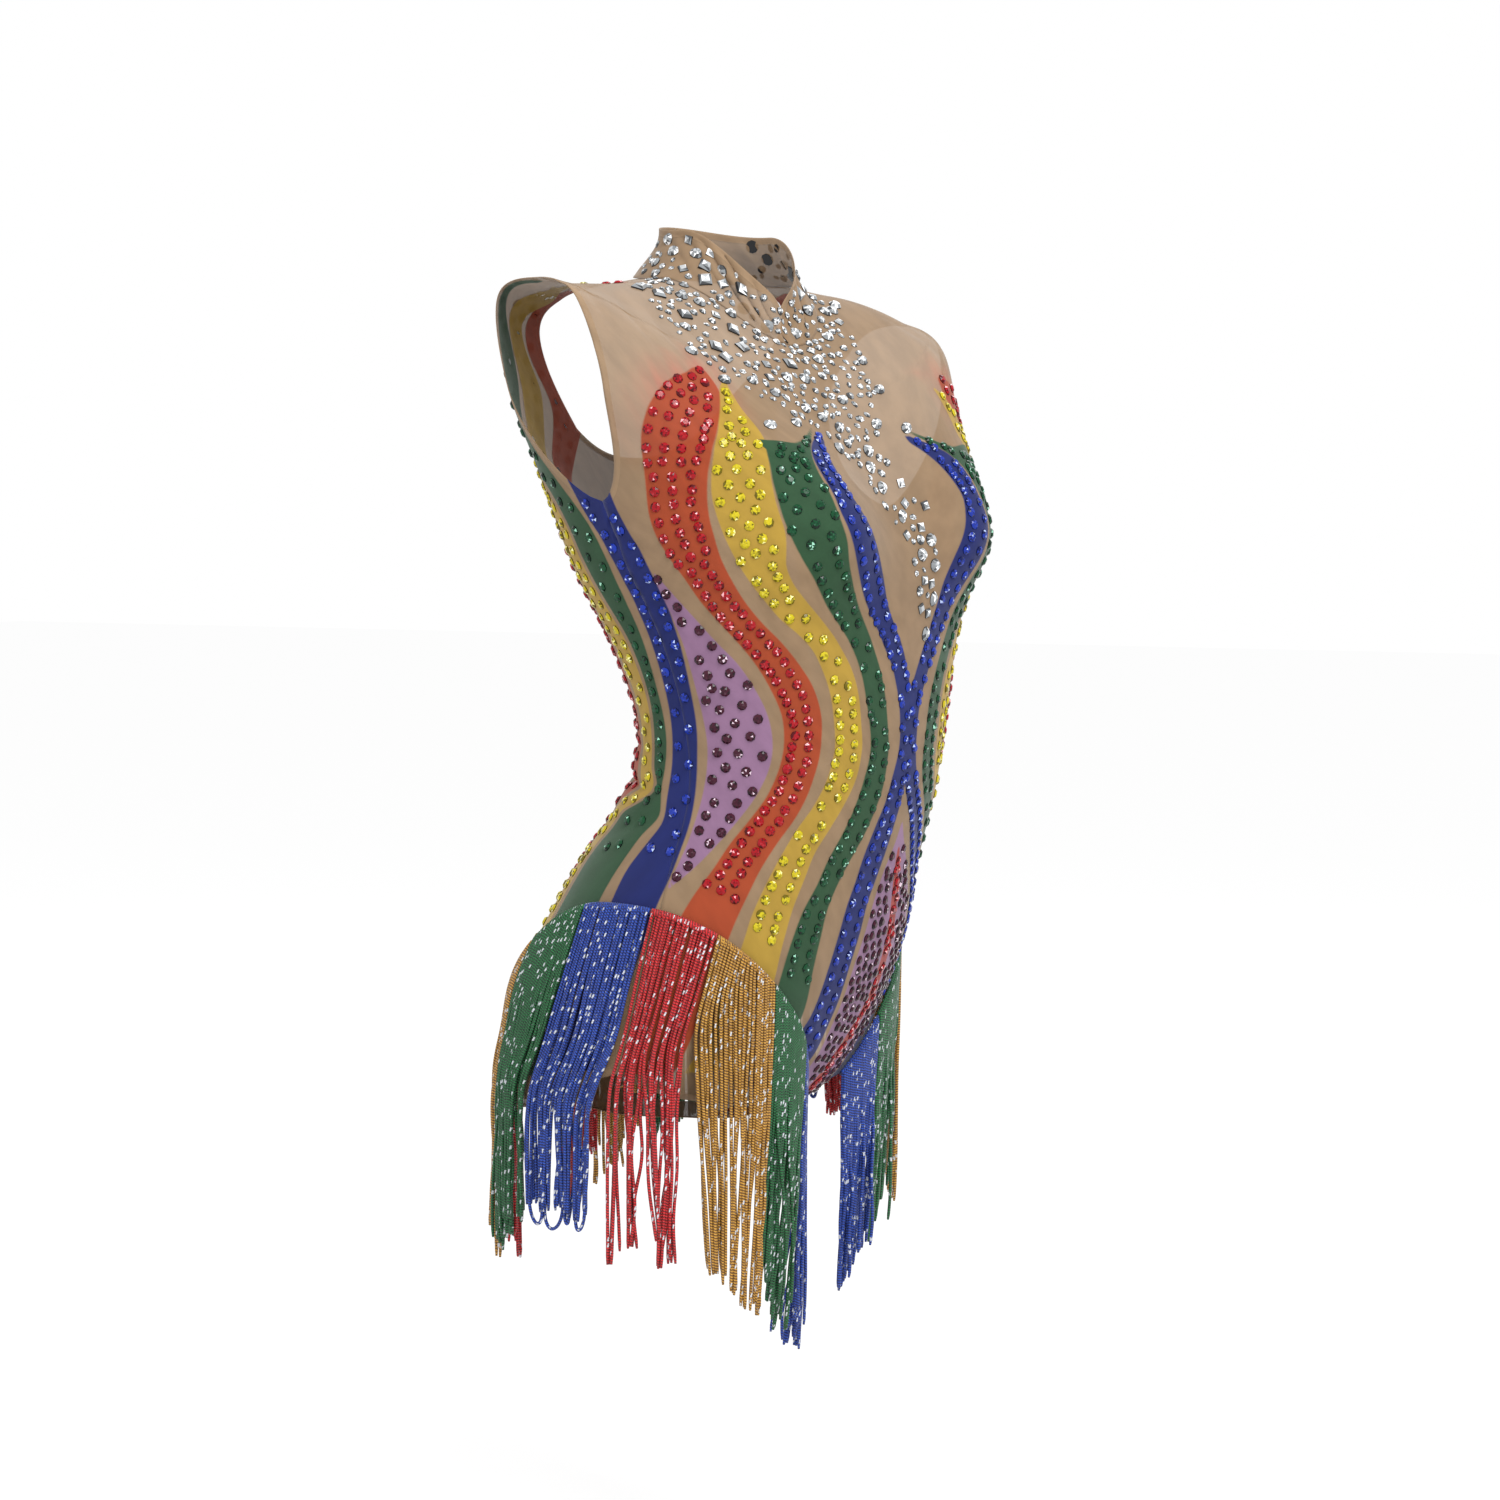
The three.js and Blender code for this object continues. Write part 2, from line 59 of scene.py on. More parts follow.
MM = 0.001
print("CAD box in metres:", [round(v, 3) for v in (*cad_low, *cad_high)])

# %% [markdown]
# The camera stands where the photographer did: a little over two metres away, to the wearer's right, and
# tilted down a few degrees. An Euler turn of 90 degrees less the tilt, then the azimuth about Z, aims it.

# %% The camera
CAMERA_AZIMUTH = -57.8  # degrees, 0 looks along +Y
CAMERA_DISTANCE = 2350.0  # mm from the neck's base, level
CAMERA_HEIGHT = -152.0  # mm
CAMERA_TILT = 3.85  # degrees down
CAMERA_ASIDE = 18.1  # mm to its own right
SENSOR = 36.0  # mm wide
LENS = 85.87  # mm

azimuth = math.radians(CAMERA_AZIMUTH)
back = np.array([math.sin(azimuth), -math.cos(azimuth), 0.0])
aside = np.array([math.cos(azimuth), math.sin(azimuth), 0.0])
camera_data = bpy.data.cameras.new("camera")
camera_data.lens = LENS
camera_data.sensor_width = SENSOR
camera = bpy.data.objects.new("camera", camera_data)
camera.location = (back * CAMERA_DISTANCE + aside * CAMERA_ASIDE + np.array([0, 0, CAMERA_HEIGHT])) * MM
camera.rotation_euler = (math.radians(90 - CAMERA_TILT), 0, azimuth)
bpy.context.scene.collection.objects.link(camera)
bpy.context.scene.camera = camera
print("camera in metres:", [round(v, 3) for v in camera.location])

# %% [markdown]
# Cloth on the body follows one smooth surface. A table gives the ring round the body at 16 levels, and a
# cubic through its rows gives every level between. Angle `u` runs round the body from the centre front
# towards the wearer's left, and level `t` runs down from the neck seam to the crotch seam.

# %% The surface of the body, in millimetres
WALL = 1.5  # mm of the solids' wall, whose outer face the cloth follows
SHOULDER_TIP = 2.5  # level
ARMPIT = 5.2  # level
HIP_ROW = 11.0  # level
LEG_TOP = 12.4  # level at the side seam
CROTCH = 15.0  # level
CROTCH_HALF = 11.0  # degrees
COLUMNS = "front side back middle half to_front to_back square_front square_back turn".split()
LEVELS = np.array([
    [-48, -6, 0, 1, 60, 61, 52, 2.0, 2.0, -8],
    [-58, -11, -8, -4, 98, 70, 62, 1.9, 2.0, -11],
    [-72, -13, -24, -8, 143, 82, 70, 1.9, 2.1, -13],
    [-92, -14, -52, -10, 183, 96, 79, 2.0, 2.3, -13],
    [-118, -72, -86, -15, 180, 103, 88, 2.2, 2.5, -9],
    [-154, -136, -136, -24, 162, 105, 96, 2.3, 2.4, -4],
    [-191, -186, -186, -34, 152, 107, 95, 2.3, 2.3, -2],
    [-236, -236, -236, -46, 138, 97, 88, 2.2, 2.2, 0],
    [-286, -286, -286, -51, 126, 90, 81, 2.1, 2.1, 1],
    [-331, -331, -331, -43, 127, 92, 87, 2.1, 2.1, 5],
    [-381, -381, -381, -25, 141, 97, 102, 2.1, 2.1, 9],
    [-431, -431, -431, -16, 157, 95, 109, 2.0, 2.1, 10],
    [-481, -481, -481, -8, 167, 85, 120, 1.85, 2.1, 10],
    [-526, -526, -526, 0, 170, 66, 126, 1.85, 2.1, 8],
    [-543, -560, -548, 0, 170, 35, 74, 2.0, 2.0, 8],
    [-548, -560, -548, 0, 170, 0, 0, 2.0, 2.0, 8],
])
CUP = {"x": 82, "z": -158, "up": 62, "down": 42, "side": 52, "out": 30}
SEAT = {"x": 78, "z": -456, "up": 62, "down": 52, "side": 62, "out": 20}
COLLAR_TOP = {
    "front": -12, "side": 27, "back": 33, "middle": -3, "half": 42, "to_front": 45, "to_back": 42, "turn": -8,
}
LEFT_SHOULDER = {"lower": 20, "back": 13, "from": 90, "to": 178, "whole": 3, "end": 6}


def through(x, knots, values):
    """A smooth curve through points: a cubic in each span, with the mean slope of its neighbours at each."""
    knots = np.asarray(knots, float)
    values = np.asarray(values, float)
    slopes = np.gradient(values, knots)
    x = np.clip(x, knots[0], knots[-1])
    i = np.clip(np.searchsorted(knots, x, side="right") - 1, 0, len(knots) - 2)
    span = knots[i + 1] - knots[i]
    f = (x - knots[i]) / span
    low = (1 + 2 * f) * (1 - f) ** 2 * values[i] + f * (1 - f) ** 2 * slopes[i] * span
    return low + f * f * (3 - 2 * f) * values[i + 1] + f * f * (f - 1) * slopes[i + 1] * span


def level(name, t):
    """One column of the table at any level."""
    return through(t, np.arange(len(LEVELS)), LEVELS[:, COLUMNS.index(name)])


def swelling(form, x, z):
    """A pair of rounded swellings: a bell curve across each middle, times one in height."""
    rise = z - form["z"]
    height = np.exp(-((rise / np.where(rise > 0, form["up"], form["down"])) ** 2))
    pair = np.exp(-(((x - form["x"]) / form["side"]) ** 2)) + np.exp(-(((x + form["x"]) / form["side"]) ** 2))
    return form["out"] * height * pair


def turned(x, y, z, degrees):
    """Points turned about Z."""
    a = np.radians(degrees)
    return np.stack([x * np.cos(a) - y * np.sin(a), x * np.sin(a) + y * np.cos(a), z + 0 * x], axis=-1)


def smooth_step(x, low, high):
    """0 below low, 1 above high, and an S between."""
    f = np.clip((x - low) / (high - low), 0, 1)
    return f * f * (3 - 2 * f)


def skin(u, t):
    """The inner face: a rounded ring at each level, turned, and the left shoulder lowered and drawn back."""
    u, t = np.broadcast_arrays(np.asarray(u, float), np.asarray(t, float))
    s = np.sin(np.radians(u))
    c = np.cos(np.radians(u))
    is_front = c > 0
    power = 2 / np.where(is_front, level("square_front", t), level("square_back", t))
    x = level("half", t) * np.sign(s) * np.abs(s) ** power
    depth = np.abs(c) ** power
    side = level("side", t)
    z = side + (np.where(is_front, level("front", t), level("back", t)) - side) * c * c
    fade = np.minimum(np.abs(c) * 1.6, 1)
    front = level("middle", t) - level("to_front", t) * depth - swelling(CUP, x, z) * fade
    rear = level("middle", t) + level("to_back", t) * depth + swelling(SEAT, x, z) * fade
    points = turned(x, np.where(is_front, front, rear), z, level("turn", t))
    pose = LEFT_SHOULDER
    share = smooth_step(points[..., 0], pose["from"], pose["to"])
    share = share * (1 - smooth_step(t, pose["whole"], pose["end"]))
    return points + share[..., None] * np.array([0, pose["back"], -pose["lower"]])


def unit(v):
    """Vectors made one long."""
    return v / np.maximum(np.linalg.norm(v, axis=-1, keepdims=True), 1e-9)


def outward(surface, u, t, lowest, highest):
    """The direction straight out: a short step down the surface crossed with one along it."""
    along = surface(u + 0.6, t) - surface(u - 0.6, t)
    down = surface(u, np.minimum(t + 0.02, highest)) - surface(u, np.maximum(t - 0.02, lowest))
    return unit(np.cross(down, along))


WAIST = 8  # level
waist_ring = skin(np.arange(361), WAIST)
print("waist in cm:", round(float(np.linalg.norm(np.diff(waist_ring, axis=0), axis=1).sum() / 10), 1))

# %% [markdown]
# Sheer mesh shows every pull. Each crease is a soft trough that runs from one point to another on the
# cloth, deepest in the middle and fading to nothing at both ends. They are listed one by one: pulls from the
# shoulders to the cups, slack at the small of the back, and pulls towards the leg openings.

# %% Creases in the cloth
CREASES = [
    {"start": (-66, 1.3), "end": (-38, 3.0), "deep": 1.0, "wide": 3.6},
    {"start": (-72, 1.6), "end": (-44, 3.2), "deep": 1.2, "wide": 3.6},
    {"start": (-78, 1.9), "end": (-52, 3.5), "deep": 1.1, "wide": 3.8},
    {"start": (-82, 2.3), "end": (-60, 3.9), "deep": 1.2, "wide": 4.0},
    {"start": (-56, 1.2), "end": (-30, 2.6), "deep": 0.9, "wide": 3.4},
    {"start": (62, 1.5), "end": (41, 3.1), "deep": 1.1, "wide": 4.0},
    {"start": (72, 1.9), "end": (50, 3.4), "deep": 1.0, "wide": 4.0},
    {"start": (80, 2.3), "end": (60, 3.8), "deep": 1.1, "wide": 4.0},
    {"start": (-97, 5.6), "end": (-78, 5.9), "deep": 1.3, "wide": 5.0},
    {"start": (97, 5.6), "end": (76, 6.0), "deep": 1.2, "wide": 5.0},
    {"start": (-98, 6.3), "end": (-72, 6.8), "deep": 0.9, "wide": 5.5},
    {"start": (108, 8.85), "end": (178, 8.6), "deep": 3.0, "wide": 4.6},
    {"start": (-106, 8.98), "end": (-174, 8.65), "deep": 4.2, "wide": 4.4},
    {"start": (-110, 9.3), "end": (-150, 9.15), "deep": -1.4, "wide": 6.0},
    {"start": (122, 8.35), "end": (188, 8.3), "deep": 1.9, "wide": 5.5},
    {"start": (-118, 8.35), "end": (-166, 8.2), "deep": 2.0, "wide": 5.0},
    {"start": (-126, 7.85), "end": (-170, 7.7), "deep": 1.2, "wide": 6.0},
    {"start": (-98, 9.25), "end": (-136, 9.6), "deep": 1.2, "wide": 6.0},
    {"start": (104, 9.05), "end": (142, 9.35), "deep": 1.3, "wide": 6.0},
    {"start": (-30, 11.8), "end": (-8, 12.9), "deep": 1.3, "wide": 4.0},
    {"start": (-44, 11.6), "end": (-24, 12.3), "deep": 1.0, "wide": 4.5},
    {"start": (32, 11.7), "end": (9, 12.8), "deep": 1.2, "wide": 4.0},
    {"start": (150, 12.2), "end": (168, 13.1), "deep": 1.8, "wide": 5.0},
    {"start": (-148, 12.2), "end": (-167, 13.0), "deep": 1.8, "wide": 5.0},
    {"start": (-136, 4.5), "end": (-168, 5.3), "deep": 1.6, "wide": 5.0},
    {"start": (134, 4.6), "end": (167, 5.4), "deep": 1.6, "wide": 5.0},
    {"start": (-128, 5.2), "end": (-160, 6.2), "deep": 1.0, "wide": 6.0},
    {"start": (126, 5.3), "end": (162, 6.3), "deep": 1.1, "wide": 6.0},
]
LEVEL_HEIGHT = 48.0  # mm of one level, near enough to place a crease
DEGREE_WIDTH = 2.5  # mm of one degree


def relief(u, t):
    """How far the cloth sinks, in mm: a bell curve of the distance to each crease's line, times a fade."""
    u = (np.asarray(u, float) + 180) % 360 - 180
    p = np.stack([u * DEGREE_WIDTH, t * LEVEL_HEIGHT + 0 * u], axis=-1)
    sunk = np.zeros(p.shape[:-1])
    for crease in CREASES:
        a = np.array([crease["start"][0] * DEGREE_WIDTH, crease["start"][1] * LEVEL_HEIGHT])
        b = np.array([crease["end"][0] * DEGREE_WIDTH, crease["end"][1] * LEVEL_HEIGHT])
        run = b - a
        share = np.clip(((p - a) @ run) / (run @ run), 0, 1)
        apart = np.linalg.norm(p - a - share[..., None] * run, axis=-1)
        sunk += crease["deep"] * np.sin(np.pi * share) ** 0.8 * np.exp(-((apart / crease["wide"]) ** 2))
    return sunk


def over(u, t, distance):
    """A point that lies this far outside the inner face, creases included."""
    u, t = np.broadcast_arrays(np.asarray(u, float), np.asarray(t, float))
    out = outward(skin, u, t, 0, CROTCH)
    return skin(u, t) + out * (distance - relief(u, t))[..., None]


def face(u, t):
    """The cloth's outer face."""
    return over(u, t, WALL)


print("creases:", len(CREASES), "deepest in mm:", max(crease["deep"] for crease in CREASES))

# %% [markdown]
# The collar leans from the neck seam to its top edge, which dips in a V at the throat. It is slack, so it
# folds in long soft diagonals. Each fold is a trough or a ridge whose middle slides round as it climbs.

# %% The surface of the collar
SEAM_GAP = 0.3  # mm between the solids at the neck seam
SEAM_LAP = 0.07  # levels that the collar laps the panels
LAP_LIFT = 0.45  # mm that it lies outside them there
LAP_END = 0.16  # share of the collar's height over which it draws in
COLLAR_FOLDS = [
    {"foot": -36, "top": -98, "deep": 2.4, "wide": 8.5},
    {"foot": -24, "top": -76, "deep": 3.6, "wide": 7.0},
    {"foot": -13, "top": -52, "deep": 4.0, "wide": 6.0},
    {"foot": -5, "top": -29, "deep": 3.0, "wide": 4.2},
    {"foot": -19, "top": -64, "deep": -1.2, "wide": 4.5},
    {"foot": 4, "top": 12, "deep": 2.2, "wide": 3.6},
    {"foot": 11, "top": 31, "deep": 3.2, "wide": 5.6},
    {"foot": 20, "top": 55, "deep": 2.6, "wide": 6.6},
    {"foot": 60, "top": 84, "deep": 1.8, "wide": 8.0},
    {"foot": 96, "top": 122, "deep": 1.6, "wide": 8.0},
    {"foot": -62, "top": -118, "deep": 1.8, "wide": 8.5},
    {"foot": -128, "top": -146, "deep": 1.5, "wide": 8.0},
]
NOTCH = {"deep": 11.0, "wide": 9.0}


def collar(u, s):
    """The collar's inner face: from the neck seam, s = 0, to the top edge, s = 1, on a quarter sine."""
    u, s = np.broadcast_arrays(np.asarray(u, float), np.asarray(s, float))
    base = skin(u, 0) + outward(skin, u, np.zeros_like(u), 0, CROTCH) * (WALL + SEAM_GAP)
    sine = np.sin(np.radians(u))
    c = np.cos(np.radians(u))
    depth = np.where(c > 0, COLLAR_TOP["to_front"], COLLAR_TOP["to_back"])
    end = np.where(c > 0, COLLAR_TOP["front"], COLLAR_TOP["back"])
    height = COLLAR_TOP["side"] + (end - COLLAR_TOP["side"]) * c * c
    height = height - NOTCH["deep"] * np.exp(-np.abs((u + 180) % 360 - 180) / NOTCH["wide"])
    top = turned(COLLAR_TOP["half"] * sine, COLLAR_TOP["middle"] - depth * c, height, COLLAR_TOP["turn"])
    lean = np.sin(s * np.pi / 2)
    share = np.stack([lean, lean, s], axis=-1)
    p = base + (top - base) * share
    sunk = np.zeros_like(u)
    for fold in COLLAR_FOLDS:
        middle = fold["foot"] + (fold["top"] - fold["foot"]) * s
        width = fold["wide"] * (0.5 + 0.5 * s)
        sunk += fold["deep"] * np.exp(-(((u - middle) / width) ** 2))
    inward = -unit(p * np.array([1, 1, 0]))
    return p + inward * (sunk * np.sin(np.pi * np.clip(0.12 + s * 0.94, 0, 1)) ** 0.7)[..., None]


def over_collar(u, s, distance):
    """A point that lies this far outside the collar's inner face."""
    u, s = np.broadcast_arrays(np.asarray(u, float), np.asarray(s, float))
    out = outward(lambda a, b: collar(a, 1 - b), u, 1 - s, 0, 1)
    return collar(u, s) + out * distance


def collar_face(u, s):
    """The collar's outer face. Near its foot it draws in to lap the panels' edge, as a sewn seam does."""
    lap = over(u, SEAM_LAP + 0 * s, WALL + LAP_LIFT) - over_collar(u, 0 * s, WALL)
    drawn_in = 1 - smooth_step(s + 0 * u, 0, LAP_END)
    return over_collar(u, s, WALL) + lap * drawn_in[..., None]


print("collar folds:", len(COLLAR_FOLDS))

# %% [markdown]
# The print is charted as a cutter marks a pattern. For each stripe a table gives a level and its
# two edges there, in degrees from the centre front. Both sides of the garment mirror each other. The
# stripes squeeze together at the waist and spread over the cups and hips, and the stance shifts the middle
# of the print a few degrees to and fro over the belly.

# %% The stripes
STRIPES = {
    "blue": [
        [(3.66, 11.7, 12.4), (3.8, 11.8, 14.8), (3.95, 13.2, 17.6), (4.25, 15.8, 22), (4.5, 17.5, 24.2),
         (4.8, 18.9, 26), (5.1, 18.2, 27.6), (5.5, 16, 27.2), (5.8, 13.8, 25.6), (6.15, 11.5, 22.4),
         (6.5, 9.8, 18.6), (6.8, 7.2, 15), (7.05, 4.6, 12.3), (7.3, 2.4, 9), (7.5, 0.8, 7.2),
         (7.75, -1.5, 5.4), (8.1, -1.5, 4.5), (8.5, -1.5, 5), (8.8, -0.2, 7), (9.1, 1.4, 9.9),
         (9.4, 4.2, 14), (9.8, 7.8, 18.6), (10.1, 11.3, 21.4), (10.4, 15.2, 24.8), (10.8, 18.5, 28.2),
         (11.2, 21, 30.5), (11.6, 21.8, 31.5), (12, 20.5, 31), (12.4, 16, 29.5), (12.8, 13.4, 27),
         (13.2, 11, 25)],
        [(4.85, 86.4, 100), (5.25, 87, 98.2), (5.6, 85.8, 95.4), (6, 84, 93.4), (6.4, 83.5, 93.2),
         (6.9, 84, 94), (7.5, 84.9, 95.2), (8, 85.3, 96.4), (8.5, 86.8, 98), (9, 87.5, 99.2),
         (9.35, 87.6, 98.6), (9.6, 88.1, 102), (9.9, 88.9, 106), (10.3, 91, 108.4), (11, 93, 110),
         (12.4, 95, 112)],
    ],
    "green": [
        [(3.56, 12.9, 13.3), (3.7, 14.4, 15.6), (3.87, 16.8, 18.9), (4, 18.7, 22.2), (4.07, 19.7, 25.6),
         (4.12, 20.4, 31), (4.3, 22.8, 33.6), (4.5, 24.9, 36), (4.8, 26.9, 39.7), (5.05, 28.3, 41.8),
         (5.3, 29, 43), (5.55, 28.7, 42.9), (5.85, 27.9, 41), (6.15, 25.4, 37.4), (6.5, 22, 33.2),
         (6.8, 19, 28.4), (7.1, 16.2, 24.4), (7.4, 13.4, 21.5), (7.7, 11.5, 19.8), (8.1, 10.3, 18.3),
         (8.5, 9.8, 18.4), (8.9, 11.3, 21.2), (9.2, 14.8, 24.8), (9.5, 19, 29), (9.8, 24, 33.6),
         (10.1, 28.8, 37.2), (10.4, 32.6, 41.6), (10.8, 35.2, 45), (11.2, 36.3, 46.4),
         (11.6, 35.6, 46.5), (12.2, 33, 44)],
        [(2.3, 93, 101), (3, 119, 128), (3.8, 124, 138), (4.5, 116, 130), (4.9, 107, 121.5),
         (5.1, 103.2, 115.5), (5.4, 98.8, 111.2), (5.9, 96.1, 109.2), (6.4, 96.6, 108),
         (7, 97.9, 105.6), (7.5, 99.4, 105.8), (8.2, 100.4, 108.4), (8.6, 101.9, 109),
         (8.93, 102.8, 107), (9.08, 101.8, 113), (9.25, 101, 122), (9.5, 105.8, 129),
         (9.8, 109.4, 132.8), (10.2, 113.2, 135), (10.8, 116, 138), (12.6, 118, 142)],
    ],
    "gold": [
        [(3.1, 30.8, 31.3), (3.3, 30.8, 33), (3.65, 31, 35.8), (4, 31, 39.8), (4.15, 31.8, 41.8),
         (4.45, 35.4, 47.2), (4.8, 40, 53.6), (5, 42, 56.4), (5.25, 43.4, 58.2), (5.5, 44, 58.8),
         (5.75, 44.8, 58.4), (5.95, 45.2, 57.4), (6.2, 43.4, 55.2), (6.4, 40.2, 52.6),
         (6.65, 35.5, 48.6), (6.85, 32, 43.6), (7.05, 29, 39.4), (7.3, 25.5, 36.3), (7.6, 23, 33.7),
         (8, 22, 32.6), (8.4, 21.8, 32.9), (8.8, 23.8, 35.7), (9.1, 28.3, 40.6), (9.4, 33.8, 47),
         (9.7, 39, 51.5), (10, 41.9, 55), (10.4, 45.6, 58.5), (10.8, 47.6, 60), (11.4, 48.2, 61.5),
         (12.4, 48.5, 63)],
        [(1.4, 93, 104), (2, 115, 131), (3, 131, 139), (4, 140, 151), (4.6, 133, 146), (5, 123, 138),
         (5.4, 113.6, 128), (5.9, 111.6, 126), (6.4, 110.6, 125), (7, 108, 121), (7.5, 108, 119.5),
         (8.2, 110.6, 120), (8.6, 111, 120.5), (8.93, 109.2, 121), (9.08, 115.6, 127),
         (9.25, 124.6, 135.5), (9.5, 131.8, 143), (9.8, 135.8, 147), (10.2, 138.4, 150),
         (11, 141.5, 154), (13, 146, 160)],
    ],
    "red": [
        [(3.05, 35.4, 36.6), (3.15, 34.7, 38.3), (3.3, 34, 40.4), (3.6, 34.9, 47), (3.9, 38.4, 53.8),
         (4.2, 42.8, 60.4), (4.5, 48.6, 67), (4.8, 54.4, 71.8), (5.05, 58, 75), (5.35, 60.6, 77.6),
         (5.6, 61.4, 78), (5.9, 61.5, 76.4), (6.15, 60.4, 74.2), (6.45, 58, 71.7), (6.7, 54.5, 68.2),
         (6.95, 49.5, 63.9), (7.2, 44.8, 59.7), (7.5, 40, 55.6), (7.85, 37.4, 52.2), (8.2, 37.8, 52.2),
         (8.6, 39.5, 54.8), (8.95, 43, 59.4), (9.25, 47.8, 65.3), (9.55, 53.6, 71), (9.85, 58, 74.8),
         (10.2, 61.3, 79.6), (10.5, 63.5, 82.4), (11, 65.5, 84), (12.4, 67, 86)],
        [(0.6, 93, 108), (1.2, 112, 127), (2.2, 133, 143), (3.2, 143, 151), (4.2, 155, 166),
         (4.7, 149, 161), (5.1, 142, 154), (5.5, 132.5, 145), (5.9, 130.5, 143.5), (6.4, 129.5, 142.5),
         (7, 125.5, 139.5), (7.5, 123.5, 137.5), (8.2, 124, 138), (8.6, 124.5, 138.5),
         (8.93, 125.5, 139), (9.1, 132, 145), (9.25, 140, 152), (9.5, 147, 158.5), (9.8, 151, 162.5),
         (10.2, 154, 166), (13.2, 163, 172)],
    ],
    "purple": [
        [(6.1, 82.8, 83.3), (6.3, 80.4, 83.8), (6.65, 75.8, 83.4), (6.95, 71, 83), (7.2, 65.8, 83),
         (7.5, 61.2, 82.8), (7.85, 57.4, 82.2), (8.2, 56.6, 82), (8.6, 58.8, 83.2), (8.95, 63.8, 84.6),
         (9.3, 70.5, 85.8), (9.6, 76.3, 86.6), (9.85, 81.5, 87.8), (10.12, 88.6, 89.4)],
        [(9.42, -30, 0.2), (9.7, -30, 2.8), (10, -30, 7), (10.4, -30, 12), (10.8, -30, 15.8),
         (11.2, -30, 18.8), (11.6, -30, 19.8), (12, -30, 18.5), (12.4, -30, 14), (12.8, -30, 11.5),
         (13.4, -30, 9), (15, -30, 7)],
        [(5.2, 178.5, 190), (5.45, 171, 190), (6.1, 160, 190), (7.2, 150, 190), (8.2, 146, 190),
         (8.9, 149, 190), (9.3, 163, 190), (9.7, 176, 190)],
    ],
    "crimson": [
        [(9.75, -30, 0.6), (10.2, -30, 1.4), (10.8, -30, 2.4), (11.6, -30, 2.8), (12.6, -30, 2.6),
         (15, -30, 2.4)],
    ],
}
PRINT_MIDDLE = [
    (6.9, 0), (7.7, -1.5), (8.2, -2.2), (8.8, -4), (9.4, -2.5), (10, -0.5), (10.4, 1.5), (10.8, 3.8),
    (11.3, 5.8), (11.7, 6), (12, 4.6), (12.4, 1), (12.8, -1.2), (13.6, 0), (15, 0),
]


def print_shift(u, t):
    """How far the print's middle wanders from the centre front at a level, fading out towards the sides."""
    middle = through(t, *np.array(PRINT_MIDDLE, float).T)
    return middle * (1 - smooth_step(np.abs(u), 30, 80))


def charted(u, t):
    """An angle on the body as one on the chart, from -180 to 180: less the shift, which is found twice."""
    u = (np.asarray(u, float) + 180) % 360 - 180
    return u - print_shift(u - print_shift(u, t), t)


def stripe_edges(rows, t):
    """The two edges of a stripe at a level, in degrees from the centre front."""
    knots, first, last = np.array(rows, float).T
    return through(t, knots, first), through(t, knots, last)


def steps(u, t):
    """Millimetres for a degree along the cloth, and for a level down it."""
    wide = np.linalg.norm(skin(u + 0.5, t) - skin(u - 0.5, t), axis=-1)
    high = np.linalg.norm(skin(u, t + 0.02) - skin(u, t - 0.02), axis=-1) / 0.04
    return wide, np.maximum(high, 4.0)


def depth_inside(rows, u, t):
    """How far inside a stripe a point lies, in mm, slant counted, from its nearer edge; below 0 is out."""
    turn = np.abs(charted(u, t))
    wide, high = steps(u, t)
    first, last = stripe_edges(rows, t)
    later = stripe_edges(rows, t + 0.05)
    reach = []
    for edge, next_edge, sign in ((first, later[0], 1), (last, later[1], -1)):
        slope = (next_edge - edge) / 0.05 * wide / high
        reach.append(sign * (turn - edge) * wide / np.sqrt(1 + slope**2))
    ends = np.minimum(t - rows[0][0], rows[-1][0] - t) * high
    return np.minimum(np.minimum(*reach), ends)


def print_depth(colour, u, t):
    """The deepest that a point lies inside any stripe of this colour, held between -30 and 30 mm."""
    return np.clip(np.max([depth_inside(rows, u, t) for rows in STRIPES[colour]], axis=0), -30, 30)


print("stripes:", {name: len(stripes) for name, stripes in STRIPES.items()})

# %% [markdown]
# Small helpers do what every piece below needs. The first turns arrays of points and faces into a mesh.
# Two write a value or a UV pair for each point, which a material reads. The others add a shader node and
# join its inputs, so that a material reads from top to bottom.

# %% Helpers for meshes and materials
def new_piece(name, points, faces, smooth, material):
    """An object whose mesh has these points, in mm, and faces, with its place in the mesh."""
    mesh = bpy.data.meshes.new(name)
    mesh.from_pydata(np.asarray(points) * MM, [], np.asarray(faces))
    mesh.polygons.foreach_set("use_smooth", np.full(len(mesh.polygons), smooth))
    mesh.materials.append(material)
    mesh.update()
    piece = bpy.data.objects.new(name, mesh)
    bpy.context.scene.collection.objects.link(piece)
    return piece


def set_values(piece, name, values, domain="POINT"):
    """One number for each point or face, which a material reads by name."""
    attribute = piece.data.attributes.new(name, "FLOAT", domain)
    attribute.data.foreach_set("value", np.asarray(values, np.float32).ravel())


def set_uv(piece, coordinates):
    """A UV map from one pair for each point."""
    layer = piece.data.uv_layers.new(name="along")
    corners = np.empty(len(piece.data.loops), np.int32)
    piece.data.loops.foreach_get("vertex_index", corners)
    layer.data.foreach_set("uv", np.asarray(coordinates, np.float32)[corners].ravel())


def node(tree, kind, inputs=None, **settings):
    """A shader node with its settings made and each named input set or joined; returns the node."""
    made = tree.nodes.new("ShaderNode" + kind)
    for name, value in settings.items():
        setattr(made, name, value)
    for name, value in (inputs or {}).items():
        socket = made.inputs[name]
        if isinstance(value, bpy.types.NodeSocket):
            tree.links.new(value, socket)
        else:
            socket.default_value = value
    return made


def value_of(tree, name):
    """The attribute of that name."""
    return node(tree, "Attribute", attribute_name=name).outputs["Fac"]


def count(tree, operation, a, b=0.0, c=0.0):
    """Arithmetic on numbers."""
    return node(tree, "Math", {0: a, 1: b, 2: c}, operation=operation).outputs[0]


